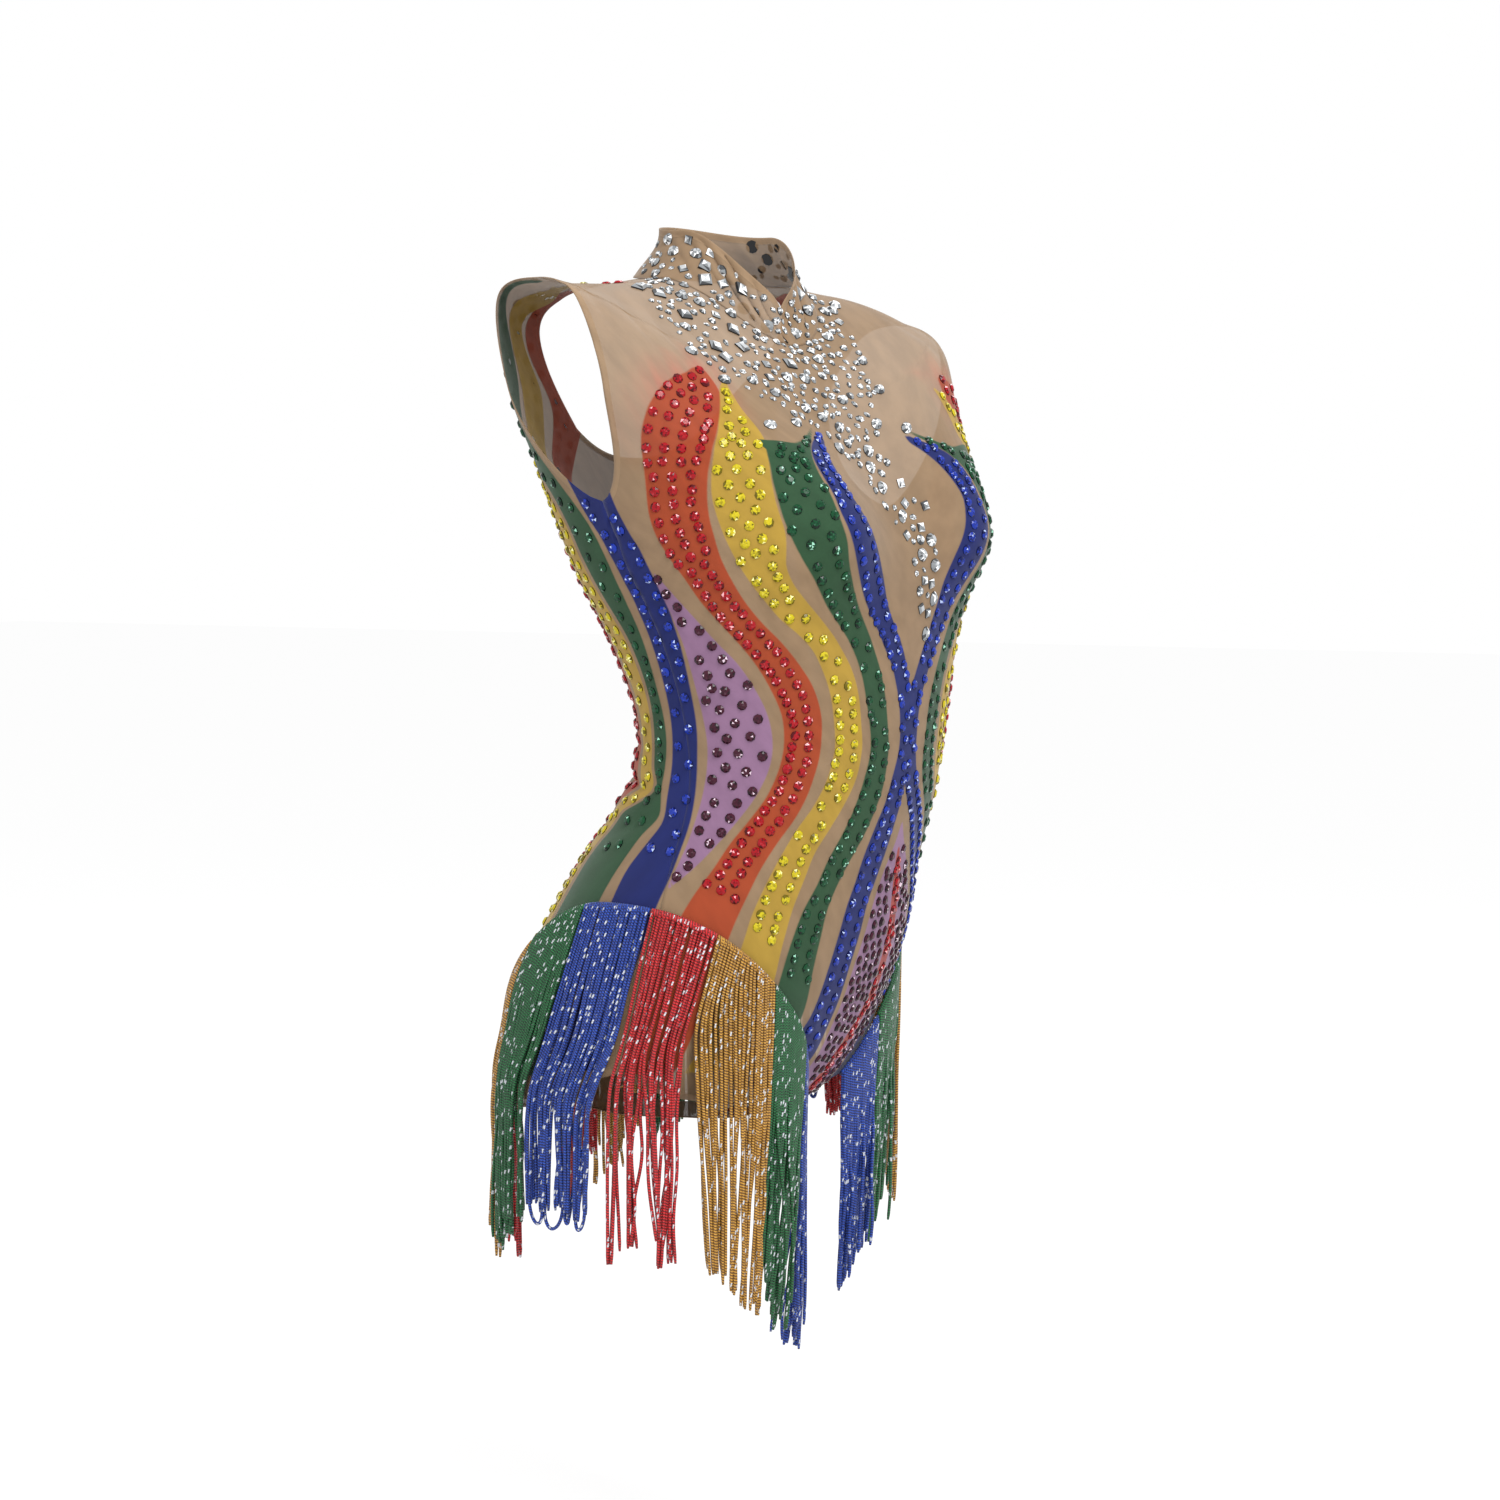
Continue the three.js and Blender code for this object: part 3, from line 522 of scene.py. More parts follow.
def blended(tree, share, a, b):
    """Colour a where share is 0, colour b where it is 1."""
    made = node(tree, "Mix", data_type="RGBA")
    for index, value in ((0, share), (6, a), (7, b)):
        if isinstance(value, bpy.types.NodeSocket):
            tree.links.new(value, made.inputs[index])
        else:
            made.inputs[index].default_value = value
    return made.outputs[2]


def spread(tree, value, low, high, to_low=0.0, to_high=1.0):
    """A smooth step: to_low below low, to_high above high."""
    inputs = {"Value": value, "From Min": low, "From Max": high, "To Min": to_low, "To Max": to_high}
    return node(tree, "MapRange", inputs, interpolation_type="SMOOTHSTEP").outputs[0]


def linear(red, green, blue):
    """A screen colour of 0 to 255 as the shader's linear light."""
    c = np.array([red, green, blue]) / 255
    light = np.where(c <= 0.04045, c / 12.92, ((c + 0.055) / 1.055) ** 2.4)
    return (*[float(v) for v in light], 1.0)


def new_material(name):
    """An empty node material, its tree and its shader."""
    material = bpy.data.materials.new(name)
    material.use_nodes = True
    tree = material.node_tree
    tree.nodes.clear()
    shader = node(tree, "BsdfPrincipled")
    out = node(tree, "OutputMaterial")
    tree.links.new(shader.outputs[0], out.inputs[0])
    return material, tree, shader


# %% [markdown]
# The cloth is one material for front, back and collar. The tan of the mesh comes first, then each printed
# colour where the point lies inside a stripe. Dye sinks into mesh, so a stripe's edge is soft for about a
# millimetre, and the red was sprayed, so it leaves a pink haze above it. Mesh is see-through: a share of
# each face is left open, less where the dye fills it and in the turned hems.

# %% The printed mesh
HEM_WIDE = 5.0  # mm of turned hem along every open edge
PRINT_COLOURS = {
    "purple": linear(136, 103, 132),
    "crimson": linear(150, 50, 40),
    "red": linear(150, 62, 32),
    "gold": linear(164, 133, 52),
    "green": linear(40, 72, 47),
    "blue": linear(22, 33, 92),
}
mesh_cloth, tree, shader = new_material("printed_mesh")
where = node(tree, "UVMap", uv_map="along").outputs[0]
cloudy = node(tree, "TexNoise", {"Vector": where, "Scale": 14.0, "Detail": 3.0}).outputs[0]
tan = blended(tree, cloudy, linear(138, 113, 86), linear(155, 129, 101))
streaks = node(tree, "Mapping", {"Vector": where, "Scale": (90.0, 6.0, 1.0)}).outputs[0]
streaky = node(tree, "TexNoise", {"Vector": streaks, "Scale": 1.0, "Detail": 2.0}).outputs[0]
haze = count(tree, "MULTIPLY", value_of(tree, "haze"), spread(tree, streaky, 0.3, 0.75, 0.35, 1.0))
colour = blended(tree, haze, tan, linear(176, 92, 70))
dyed = None
for name, dye in PRINT_COLOURS.items():
    inside = spread(tree, value_of(tree, name), -0.7, 0.7)
    colour = blended(tree, inside, colour, dye)
    dyed = inside if dyed is None else count(tree, "MAXIMUM", dyed, inside)
mottled = node(tree, "TexNoise", {"Vector": where, "Scale": 60.0, "Detail": 4.0}).outputs[0]
shade = spread(tree, mottled, 0.3, 0.7, 0.9, 1.05)
toned = node(tree, "Mix", data_type="RGBA", blend_type="MULTIPLY", clamp_result=False)
tree.links.new(colour, toned.inputs[6])
grey = node(tree, "CombineColor", {0: shade, 1: shade, 2: shade}).outputs[0]
tree.links.new(grey, toned.inputs[7])
toned.inputs[0].default_value = 1.0
tree.links.new(toned.outputs[2], shader.inputs["Base Color"])
hem = spread(tree, value_of(tree, "edge"), HEM_WIDE, 4.2)
opaque = spread(tree, dyed, 0.0, 1.0, 0.72, 0.9)
tree.links.new(count(tree, "MAXIMUM", opaque, count(tree, "MULTIPLY", hem, 0.88)), shader.inputs["Alpha"])
weave_place = node(tree, "Mapping", {"Vector": where, "Scale": (1000.0, 1000.0, 1.0)}).outputs[0]
weave = node(tree, "TexVoronoi", {"Vector": weave_place, "Scale": 0.9, "Randomness": 0.15}).outputs[0]
diagonal = {"bands_direction": "DIAGONAL"}
stitch_wave = node(tree, "TexWave", {"Vector": weave_place, "Scale": 0.16}, **diagonal).outputs[1]
stitch_band = count(tree, "MULTIPLY", spread(tree, value_of(tree, "edge"), 3.6, 4.2),
                    spread(tree, value_of(tree, "edge"), HEM_WIDE, 4.4))
stitched = count(tree, "MULTIPLY", stitch_band, stitch_wave)
height = count(tree, "ADD", count(tree, "MULTIPLY", weave, 0.25), count(tree, "ADD", stitched, hem))
bump = node(tree, "Bump", {"Height": height, "Strength": 0.35, "Distance": 0.0004})
tree.links.new(bump.outputs[0], shader.inputs["Normal"])
shader.inputs["Roughness"].default_value = 0.78
shader.inputs["Specular IOR Level"].default_value = 0.25
shader.inputs["Sheen Weight"].default_value = 0.18
shader.inputs["Sheen Roughness"].default_value = 0.4
print("printed mesh:", len(tree.nodes), "nodes")

# %% [markdown]
# A panel is a grid of rows and columns on the body's surface. The rows bend down to the leg opening, the
# columns draw in to cut the armhole, and a strip of columns runs on to the crotch seam. The back has an
# opening under the collar, from neck point to neck point, that ends in a round between the shoulder blades.

# %% The shape of a panel
MIDDLE_COLUMNS = 20
SIDE_COLUMNS = 66
STRIP_ROWS = 30
CLOTH_THICK = 0.4  # mm
FRONT = {"facing": 0, "scye": 24, "skew": 0.6, "low": 13.05, "bow": 1.75, "seam": 0.005, "hole": False,
         "rows": [(SHOULDER_TIP, 30), (ARMPIT, 50), (HIP_ROW, 96), (LEG_TOP, 20)]}
BACK = {"facing": 180, "scye": 31, "skew": 0.8, "low": 13.7, "bow": 1.1, "seam": 0.003, "hole": True,
        "rows": [(SHOULDER_TIP, 30), (4.3, 34), (ARMPIT, 16), (HIP_ROW, 96), (LEG_TOP, 20)]}
HOLE_END = 4.3  # level
HOLE_ROUND = 0.35  # levels that its foot is rounded by
HOLE_TOP = 64.0  # degrees of its half at the neck
HOLE_FOOT = 16.0  # degrees of its half at the foot


def hole_half(t):
    """Half the back opening's width in degrees: it narrows from the neck to its foot."""
    return HOLE_TOP + (HOLE_FOOT - HOLE_TOP) * np.clip(t / HOLE_END, 0, 1) ** 1.15


def armhole_cut(t, reach, skew):
    """Degrees that the armhole takes from a panel: a skewed half sine from shoulder tip to armpit."""
    down = np.clip((t - SHOULDER_TIP) / (ARMPIT - SHOULDER_TIP), 0, 1)
    return reach * np.maximum(np.sin(np.pi * down**skew), 0) ** 0.8


def leg_edge(angle, low, bow):
    """The level of a panel's lower edge: from the side seam down to the crotch strip on a power curve."""
    out = np.clip((np.abs(angle) - CROTCH_HALF) / (90 - CROTCH_HALF), 0, 1)
    return LEG_TOP + (low - LEG_TOP) * (1 - out**bow)


def rows_down(stretches):
    """Row levels that meet the end of each stretch exactly."""
    rows = [np.array([0.0])]
    for end, number in stretches:
        rows.append(np.linspace(rows[-1][-1], end, number + 1)[1:])
    return np.concatenate(rows)


def panel_grid(cut):
    """Angle and level of every grid point, and which cells are cloth."""
    torso = rows_down(cut["rows"])
    last = len(torso) - 1
    row = np.concatenate([torso, np.full(STRIP_ROWS, torso[-1])])[:, None]
    k = np.arange(MIDDLE_COLUMNS + 2 * SIDE_COLUMNS + 1)[None, :] - (MIDDLE_COLUMNS / 2 + SIDE_COLUMNS)
    half = MIDDLE_COLUMNS / 2
    at = np.minimum(row, LEG_TOP - 0.1)
    strip = np.full_like(row, CROTCH_HALF)
    if cut["hole"]:
        below = np.clip(at - HOLE_END, 0, 1)
        strip = hole_half(at) + (CROTCH_HALF - hole_half(at)) * below
    edge = 90 - armhole_cut(at, cut["scye"], cut["skew"])
    outer = np.sign(k) * (strip + (edge - strip) * (np.abs(k) - half) / SIDE_COLUMNS)
    angle = np.where(np.abs(k) <= half, strip * k / half, outer)
    low = leg_edge(angle, cut["low"], cut["bow"])
    share = np.clip((row - HIP_ROW) / (LEG_TOP - HIP_ROW), 0, 1)
    t = np.where(row > HIP_ROW, HIP_ROW + (low - HIP_ROW) * share, row + 0 * k)
    strip_share = np.clip(np.arange(len(row)) - last, 0, None)[:, None] / STRIP_ROWS
    t = np.where(strip_share > 0, cut["low"] + (CROTCH - cut["seam"] - cut["low"]) * strip_share, t)
    in_strip = (k[0, :-1] >= -half) & (k[0, :-1] < half)
    keep = np.ones((len(row) - 1, k.shape[1] - 1), bool)
    keep[last:] = in_strip
    if cut["hole"]:
        foot = np.argmin(np.abs(torso - HOLE_END))
        inside = np.abs(angle[foot]) < hole_half(HOLE_END)
        lift = HOLE_ROUND * (1 - (angle[foot] / hole_half(HOLE_END)) ** 2)
        fade = np.clip(1 - (torso - HOLE_END) / 0.9, 0, 1)[:, None] * (torso[:, None] >= HOLE_END - 1e-9)
        t[: last + 1] += np.where(inside, lift, 0)[None, :] * fade
        keep[:foot] &= ~in_strip
    return angle, t, keep, row[:, 0]


def grid_faces(keep):
    """The four corners of every kept cell, seen from outside, with the points renumbered to those in use."""
    rows, columns = keep.shape
    i, j = np.nonzero(keep)
    wide = columns + 1
    corner = i * wide + j
    faces = np.stack([corner, corner + wide, corner + wide + 1, corner + 1], axis=-1)
    used, numbers = np.unique(faces, return_inverse=True)
    return used, numbers.reshape(faces.shape)


def lengths_along(points, axis):
    """The running length along a grid's rows or columns."""
    steps_along = np.linalg.norm(np.diff(points, axis=axis), axis=-1)
    return np.cumsum(np.insert(steps_along, 0, 0, axis=axis), axis=axis)


NEAREST_PARTS = 60  # the points are taken in parts, to spare memory


def nearest(points, edge_points):
    """The distance from each point to the nearest of some others."""
    parts = np.array_split(points, NEAREST_PARTS)
    found = [np.sqrt(((part[:, None] - edge_points[None]) ** 2).sum(-1).min(1)) for part in parts]
    return np.concatenate(found)


def thin(piece, thickness):
    """Gives a sheet its thickness, inwards from its outer face."""
    solid = piece.modifiers.new("thickness", "SOLIDIFY")
    solid.thickness = thickness * MM
    solid.offset = -1


def haze_at(u, t):
    """The pink haze round the top of the red stripes, from 0 to 1: it fades over 24 mm."""
    near = depth_inside(STRIPES["red"][0], u, t)
    return np.clip(1 + near / 24, 0, 1) ** 1.6 * np.clip((4.9 - t) / 1.2, 0, 1) * 0.75


def make_panel(name, cut):
    """A torso panel as a sheet, with its print, its haze and its distance from the open edges."""
    angle, t, keep, row = panel_grid(cut)
    u = cut["facing"] + angle
    t = t + 0 * u
    used, faces = grid_faces(keep)
    points = face(u, t)
    piece = new_piece(name, points.reshape(-1, 3)[used], faces, True, mesh_cloth)
    flat_u = u.ravel()[used]
    flat_t = t.ravel()[used]
    for colour_name in STRIPES:
        set_values(piece, colour_name, print_depth(colour_name, flat_u, flat_t))
    set_values(piece, "haze", haze_at(flat_u, flat_t) if cut["facing"] == 0 else np.zeros(len(used)))
    half = MIDDLE_COLUMNS // 2
    middle = SIDE_COLUMNS + half
    last = len(row) - 1 - STRIP_ROWS
    open_edge = np.zeros(u.shape, bool)
    arm = (row > SHOULDER_TIP) & (row < ARMPIT)
    open_edge[arm, 0] = open_edge[arm, -1] = True
    open_edge[last, : middle - half] = open_edge[last, middle + half + 1 :] = True
    open_edge[last:, middle - half] = open_edge[last:, middle + half] = True
    if cut["hole"]:
        foot = np.argmin(np.abs(row - HOLE_END))
        open_edge[: foot + 1, middle - half] = open_edge[: foot + 1, middle + half] = True
        open_edge[foot, middle - half : middle + half + 1] = True
    flat_points = points.reshape(-1, 3)
    set_values(piece, "edge", nearest(flat_points[used], points[open_edge]))
    across = lengths_along(points, 1)
    across -= across[:, middle : middle + 1]
    down = lengths_along(points, 0)
    set_uv(piece, (np.stack([across, down], axis=-1).reshape(-1, 2) * MM)[used])
    thin(piece, CLOTH_THICK)
    return piece


front = make_panel("mesh_front", FRONT)
rear = make_panel("mesh_back", BACK)

# %% [markdown]
# The collar is the same cloth on its own grid, open at the nape by a hair. Its top edge is a turned hem.

# %% The collar
COLLAR_COLUMNS = 260
COLLAR_ROWS = 26
NAPE_DEGREES = 0.35


def make_collar():
    """The stand collar as a sheet from its top edge down to the neck seam."""
    u = np.linspace(-180 + NAPE_DEGREES, 180 - NAPE_DEGREES, COLLAR_COLUMNS + 1)[None, :]
    s = np.linspace(1, 0, COLLAR_ROWS + 1)[:, None]
    points = collar_face(u, s)
    used, faces = grid_faces(np.ones((COLLAR_ROWS, COLLAR_COLUMNS), bool))
    piece = new_piece("mesh_collar", points.reshape(-1, 3)[used], faces, True, mesh_cloth)
    for colour_name in STRIPES:
        set_values(piece, colour_name, np.full(len(used), -30.0))
    set_values(piece, "haze", np.zeros(len(used)))
    set_values(piece, "edge", nearest(points.reshape(-1, 3), points[0]))
    across = lengths_along(points, 1)
    down = lengths_along(points, 0)
    set_uv(piece, np.stack([across, down], axis=-1).reshape(-1, 2) * MM)
    thin(piece, CLOTH_THICK)
    return piece


neck_band = make_collar()

# %% [markdown]
# A flat-backed stone is a low faceted dome with foil behind it. Foil throws light back in a broken way: one
# facet flashes white and the next is nearly black. Here that is painted: each facet carries its own painted
# highlight or painted shade, the same from any side, and the material only tints it. The template is a wall,
# a crown and a table, and copies of it are set along the stripes in rows and joined in one mesh for each
# colour.

# %% One stone
def cut_stone(sides, table, high, wall, long=1.0, apex=0.0):
    """Points and triangles of a stone of radius 1: rings at foot, girdle and table, and its top's middle."""
    angle = 2 * np.pi * np.arange(sides) / sides + np.pi / sides
    turned_angle = angle + np.pi / sides if sides > 4 else angle
    ring = np.stack([np.cos(angle) * long, np.sin(angle)], axis=-1)
    inner = np.stack([np.cos(turned_angle) * long, np.sin(turned_angle)], axis=-1) * table
    points = np.concatenate([
        np.column_stack([ring, np.full(sides, -0.12)]),
        np.column_stack([ring, np.full(sides, wall)]),
        np.column_stack([inner, np.full(sides, high)]),
        [[0, 0, high + apex]],
    ])
    k = np.arange(sides)
    after = (k + 1) % sides
    foot, girdle, top = k, k + sides, k + 2 * sides
    middle = np.full(sides, 3 * sides)
    triangles = np.concatenate([
        np.column_stack([foot, after, after + sides]),
        np.column_stack([foot, after + sides, girdle]),
        np.column_stack([girdle, after + sides, top]),
        np.column_stack([after + sides, after + 2 * sides, top]),
        np.column_stack([top, after + 2 * sides, middle]),
        np.column_stack([0 * k, after, k])[1:-1],
    ])
    kind = np.append(np.repeat([0, 0, 1, 1, 2], sides), np.zeros(sides - 2))
    return points, triangles, kind


def frames_on(surface, u, t, lowest, highest):
    """Places on a surface with their directions: along it, down it turned square, and out."""
    place = surface(u, t)
    out = outward(surface, u, t, lowest, highest)
    along = unit(surface(u + 0.6, t) - surface(u - 0.6, t))
    return place, along, np.cross(out, along), out


def set_stones(name, template, frames, radius, turn, painted_light_of_facets, material):
    """Copies of a stone at these frames, joined in one mesh, with a painted highlight or painted shade value
    on every facet.
    """
    points, triangles, kind = template
    place, along, up, out = frames
    number = len(place)
    c = np.cos(turn)[:, None]
    s = np.sin(turn)[:, None]
    first = (along * c + up * s)[:, None, :]
    second = (up * c - along * s)[:, None, :]
    local = points[None] * radius[:, None, None]
    flat = local[..., :1] * first + local[..., 1:2] * second
    all_points = place[:, None] + flat + local[..., 2:] * out[:, None]
    faces = triangles[None] + (np.arange(number) * len(points))[:, None, None]
    piece = new_piece(name, all_points.reshape(-1, 3), faces.reshape(-1, 3), False, material)
    # Each facet gets a painted highlight or painted shade value that stays the same under any light.
    set_values(piece, "painted_glint_and_shade", painted_light_of_facets(number, kind), "FACE")
    return piece


# %% [markdown]
# The painted highlights and painted shade are drawn from a seeded source, so that each run gives the same
# painted sparkle: walls painted dark, a crown painted mostly deep with a few bright facets, and a table
# painted mid-toned.

# %% The finish of the stones
rng = np.random.default_rng(20)


def colour_painted_light(number, kind):
    """Painted light for coloured stones: below 1 is painted shade down to black at 0, 1 the full colour,
    above 1 a painted highlight that turns pale.
    """
    draw = rng.random((number, len(kind)))
    crown = np.where(draw < 0.045, 1.9, np.where(draw < 0.42, 0.22, 0.85))
    table_painted_light = np.where(draw < 0.05, 1.8, 0.35 + 0.8 * draw)
    return np.where(kind == 0, 0.12, np.where(kind == 1, crown, table_painted_light))


def clear_painted_light(number, kind):
    """Painted light for clear stones: silver grey with facets painted as bright highlights and a foot painted
    dark as shade.
    """
    draw = rng.random((number, len(kind)))
    crown = np.where(draw < 0.16, 1.85, np.where(draw < 0.52, 0.3, 1.0))
    table_painted_light = np.where(draw < 0.30, 1.8, np.where(draw < 0.60, 0.7, 1.3))
    return np.where(kind == 0, 0.1, np.where(kind == 1, crown, table_painted_light))


def stone_material(name, deep, full, painted_highlight):
    """Foiled glass: the facet's painted light runs from a deep painted shade through the full colour to a
    white painted highlight.
    """
    material, tree, shader = new_material(name)
    painted_glint_and_shade = value_of(tree, "painted_glint_and_shade")
    # Painted shade below 1 and painted highlight above it, tinting the facet's colour.
    low = blended(tree, spread(tree, painted_glint_and_shade, 0.0, 1.0), deep, full)
    colour = blended(tree, spread(tree, painted_glint_and_shade, 1.0, 1.9), low, painted_highlight)
    tree.links.new(colour, shader.inputs["Base Color"])
    grain = node(tree, "TexCoord").outputs["Object"]
    fine = node(tree, "TexNoise", {"Vector": grain, "Scale": 700.0}).outputs[0]
    tree.links.new(spread(tree, fine, 0.3, 0.7, 0.08, 0.2), shader.inputs["Roughness"])
    shader.inputs["Specular IOR Level"].default_value = 0.2
    shader.inputs["Coat Weight"].default_value = 0.08
    shader.inputs["Coat Roughness"].default_value = 0.05
    return material


# For each stone colour: its painted shade, its full colour and its painted highlight.
STONE_COLOURS = {
    "blue": (linear(3, 8, 46), linear(18, 46, 150), linear(176, 192, 232)),
    "green": (linear(1, 16, 9), linear(7, 66, 36), linear(150, 206, 180)),
    "gold": (linear(74, 62, 4), linear(190, 174, 26), linear(246, 242, 160)),
    "red": (linear(54, 1, 6), linear(152, 8, 22), linear(236, 172, 176)),
    "purple": (linear(16, 2, 10), linear(60, 14, 34), linear(214, 192, 206)),
    "clear": (linear(26, 26, 28), linear(134, 138, 141), linear(240, 242, 244)),
}
stone_finish = {name: stone_material("stone_" + name, *painted_light_of_facets) for name, painted_light_of_facets in STONE_COLOURS.items()}
stone_finish["crimson"] = stone_finish["red"]
print("stone finishes:", sorted(stone_finish))

# %% [markdown]
# Rows of stones are marked out along a stripe, and each row holds as many as its width takes at the pitch
# that a small table gives for the level: tight at the tips, wide over the cups. Every second row is shifted
# by half a pitch, the red rows are square, and a narrow stripe has one stone a row, now left, now right.
# They stop a little above the fringe, as on the real one.

# %% Coloured stones along the stripes
STONE_RADIUS = 3.25  # mm
FRINGE_TOP = 10.36  # level at its highest
FRINGE_PEAK = 105.0  # degrees
FRINGE_START = 12.0  # degrees
FRINGE_END = 170.0  # degrees
RIM_DEGREES = 2.2  # between a stone and an armhole
RIM_LEVELS = 0.14  # between a stone and a leg opening


def fringe_level(u):
    """The fringe line: highest just behind the side, falling on power curves to the front and the seat."""
    to_front = np.clip((FRINGE_PEAK - np.abs(u)) / (FRINGE_PEAK - FRINGE_START), 0, 1)
    to_back = np.clip((np.abs(u) - FRINGE_PEAK) / (FRINGE_END - FRINGE_PEAK), 0, 1)
    return FRINGE_TOP + 2.5 * to_front**2.25 + 2.3 * to_back**2.3


def is_cloth(u, t):
    """Whether a stone of this size finds cloth under it, clear of every open edge."""
    turn = np.abs(u)
    front_edge = 90 - armhole_cut(t, FRONT["scye"], FRONT["skew"]) - RIM_DEGREES
    back_edge = 90 + armhole_cut(t, BACK["scye"], BACK["skew"]) + RIM_DEGREES
    in_arm = (t > SHOULDER_TIP - 0.1) & (t < ARMPIT + 0.1) & (turn > front_edge) & (turn < back_edge)
    in_hole = (t < HOLE_END + HOLE_ROUND + 0.12) & (180 - turn < hole_half(t) + 2.5)
    leg_front = leg_edge(turn, FRONT["low"], FRONT["bow"]) - RIM_LEVELS
    leg_back = leg_edge(180 - turn, BACK["low"], BACK["bow"]) - RIM_LEVELS
    in_leg = np.where(turn < 90, (t > leg_front) & (turn > CROTCH_HALF - 2.0),
                      (t > leg_back) & (180 - turn > CROTCH_HALF - 2.0))
    return ~(in_arm | in_hole | in_leg)


STEEPEST = 40.0  # degrees that a stripe's middle slides in one level, at most
RIM_ROOM = 1.2  # mm of print beyond a stone's middle
ROW_SHARE = {"staggered": 0.86, "square": 0.9, "zigzag": 0.55}  # pitches from row to row
PATH_SAMPLES = 900
EASED = 61  # samples over which the slant is evened out
WIDEST_STEP = 1.2  # pitches between neighbours in a row, at most
ZIGZAG = 0.44  # share of the room that a lone stone steps to either side
ZIGZAG_ROOM = 12.0  # mm
HAND = 0.5  # mm that a hand-set stone strays


def stones_along(rows, side, margin, packing, most, order):
    """Angle and level of a stripe's stones: rows square to its run at the pitch, from margin to margin."""
    t = np.linspace(rows[0][0], rows[-1][0], PATH_SAMPLES)
    first, last = stripe_edges(rows, t)
    first = np.maximum(first, 0.0)
    last = np.minimum(last, 180.0)
    inner = side * first + print_shift(first, t)
    outer = side * last + print_shift(last, t)
    middle = (inner + outer) / 2
    slant = np.pad(np.gradient(middle, t), EASED // 2, mode="edge")
    slide = np.clip(np.convolve(slant, np.full(EASED, 1 / EASED), "valid"), -STEEPEST, STEEPEST)
    by_degree = face(middle + 0.5, t) - face(middle - 0.5, t)
    by_level = (face(middle, t + 0.02) - face(middle, t - 0.02)) / 0.04
    path = by_degree * slide[:, None] + by_level
    length = np.linalg.norm(path, axis=-1)
    down = path / length[:, None]
    beside = side * unit(by_degree - (by_degree * down).sum(-1, keepdims=True) * down)
    level_square = (by_level * by_level).sum(-1)
    degree_square = (by_degree * by_degree).sum(-1)
    shared = (by_degree * by_level).sum(-1)
    beside_degree = (beside * by_degree).sum(-1)
    beside_level = (beside * by_level).sum(-1)
    whole = degree_square * level_square - shared * shared
    row_u = (level_square * beside_degree - shared * beside_level) / whole
    row_t = (degree_square * beside_level - shared * beside_degree) / whole
    pitch_at = np.interp(t, *np.array(packing, float).T)
    run = np.insert(np.cumsum(np.diff(t) * length[1:] / (pitch_at[1:] * ROW_SHARE[order])), 0, 0)
    columns = (middle, (outer - inner) * beside_degree, pitch_at, row_u, row_t, slide, length)
    spots = []
    for k, at in enumerate(np.interp(np.arange(0.45, run[-1]), run, t)):
        found_here = (float(np.interp(at, t, value)) for value in columns)
        centre, width, pitch, to_u, to_t, lean, stretch = found_here
        room = max(width - margin[0] - margin[1], 0.0)
        number = 1 if order == "zigzag" else min(most, int(room / pitch + 1.001))
        step = min(room / max(number - 1, 1), pitch * WIDEST_STEP)
        offset = (margin[0] - margin[1]) / 2 + step * (np.arange(number) - (number - 1) / 2)
        if number == 1:
            offset = offset + (ZIGZAG if k % 2 else -ZIGZAG) * min(room, ZIGZAG_ROOM)
        elif number > 2 and k % 2 and order == "staggered":
            offset = offset[:-1] + step / 2
        lag = np.zeros(len(offset))
        if number == 2 and order == "staggered":
            lag[1] = pitch * ROW_SHARE[order] / 2
        spots += [(centre + o * to_u + late * lean / stretch, at + o * to_t + late / stretch)
                  for o, late in zip(offset, lag)]
    u, t = np.array(spots).T
    wide, high = steps(u, t)
    u = u + rng.normal(0, HAND, len(u)) / wide
    t = t + rng.normal(0, HAND, len(t)) / high
    inside = depth_inside(rows, u, t) > RIM_ROOM
    return u[inside], t[inside]


# For each stripe: its colour and number, margins in mm towards the front and the back, pitch in mm at a
# few levels, most stones in a row, levels left free above the fringe, and the order of the rows.
STONE_ROWS = [
    ("blue", 0, (2.8, 2.8), [(3.7, 7.4), (4.6, 8), (5, 10.8), (6.5, 11), (7.4, 9.5), (9, 9.5), (10, 11)],
     2, 0.05, "staggered"),
    ("blue", 1, (4.8, 4.8), [(5, 12.5), (12, 12.5)], 2, 0.55, "staggered"),
    ("green", 0, (3.2, 3.2), [(3.6, 7), (4.35, 7.4), (4.6, 9), (4.9, 12), (5.9, 12), (6.5, 11), (12, 10.6)],
     5, 0.3, "staggered"),
    ("green", 1, (5.0, 5.0), [(2, 19), (12, 19)], 2, 0.62, "zigzag"),
    ("gold", 0, (6.4, 3.8), [(3.1, 7.4), (3.8, 8.6), (4.6, 10.4), (12, 10.4)], 4, 0.3, "staggered"),
    ("gold", 1, (4.4, 4.4), [(1, 11), (13, 11)], 3, 0.45, "staggered"),
    ("red", 0, (6.0, 3.2), [(3.0, 8.4), (4.0, 9.2), (5.0, 9.8), (6, 8.8), (12, 8.8)],
     4, 0.42, "square"),
    ("red", 1, (4.4, 4.4), [(0, 11), (13, 11)], 3, 0.45, "square"),
    ("purple", 0, (4.2, 4.0), [(6, 11.5), (7, 12), (10, 11)], 4, 0.4, "staggered"),
    ("purple", 1, (3.6, 3.2), [(9.4, 7.6), (10.5, 8.8), (15, 8.8)], 6, -9.0, "staggered"),
    ("purple", 2, (4.6, 1.0), [(5, 12), (10, 12)], 9, 0.4, "staggered"),
    ("crimson", 0, (1.6, 1.0), [(9.7, 8.0), (15, 8.0)], 2, -9.0, "square"),
]
CRIMSON_ROOM = 1.1  # degrees between the purple stones and the crimson line
found = {}
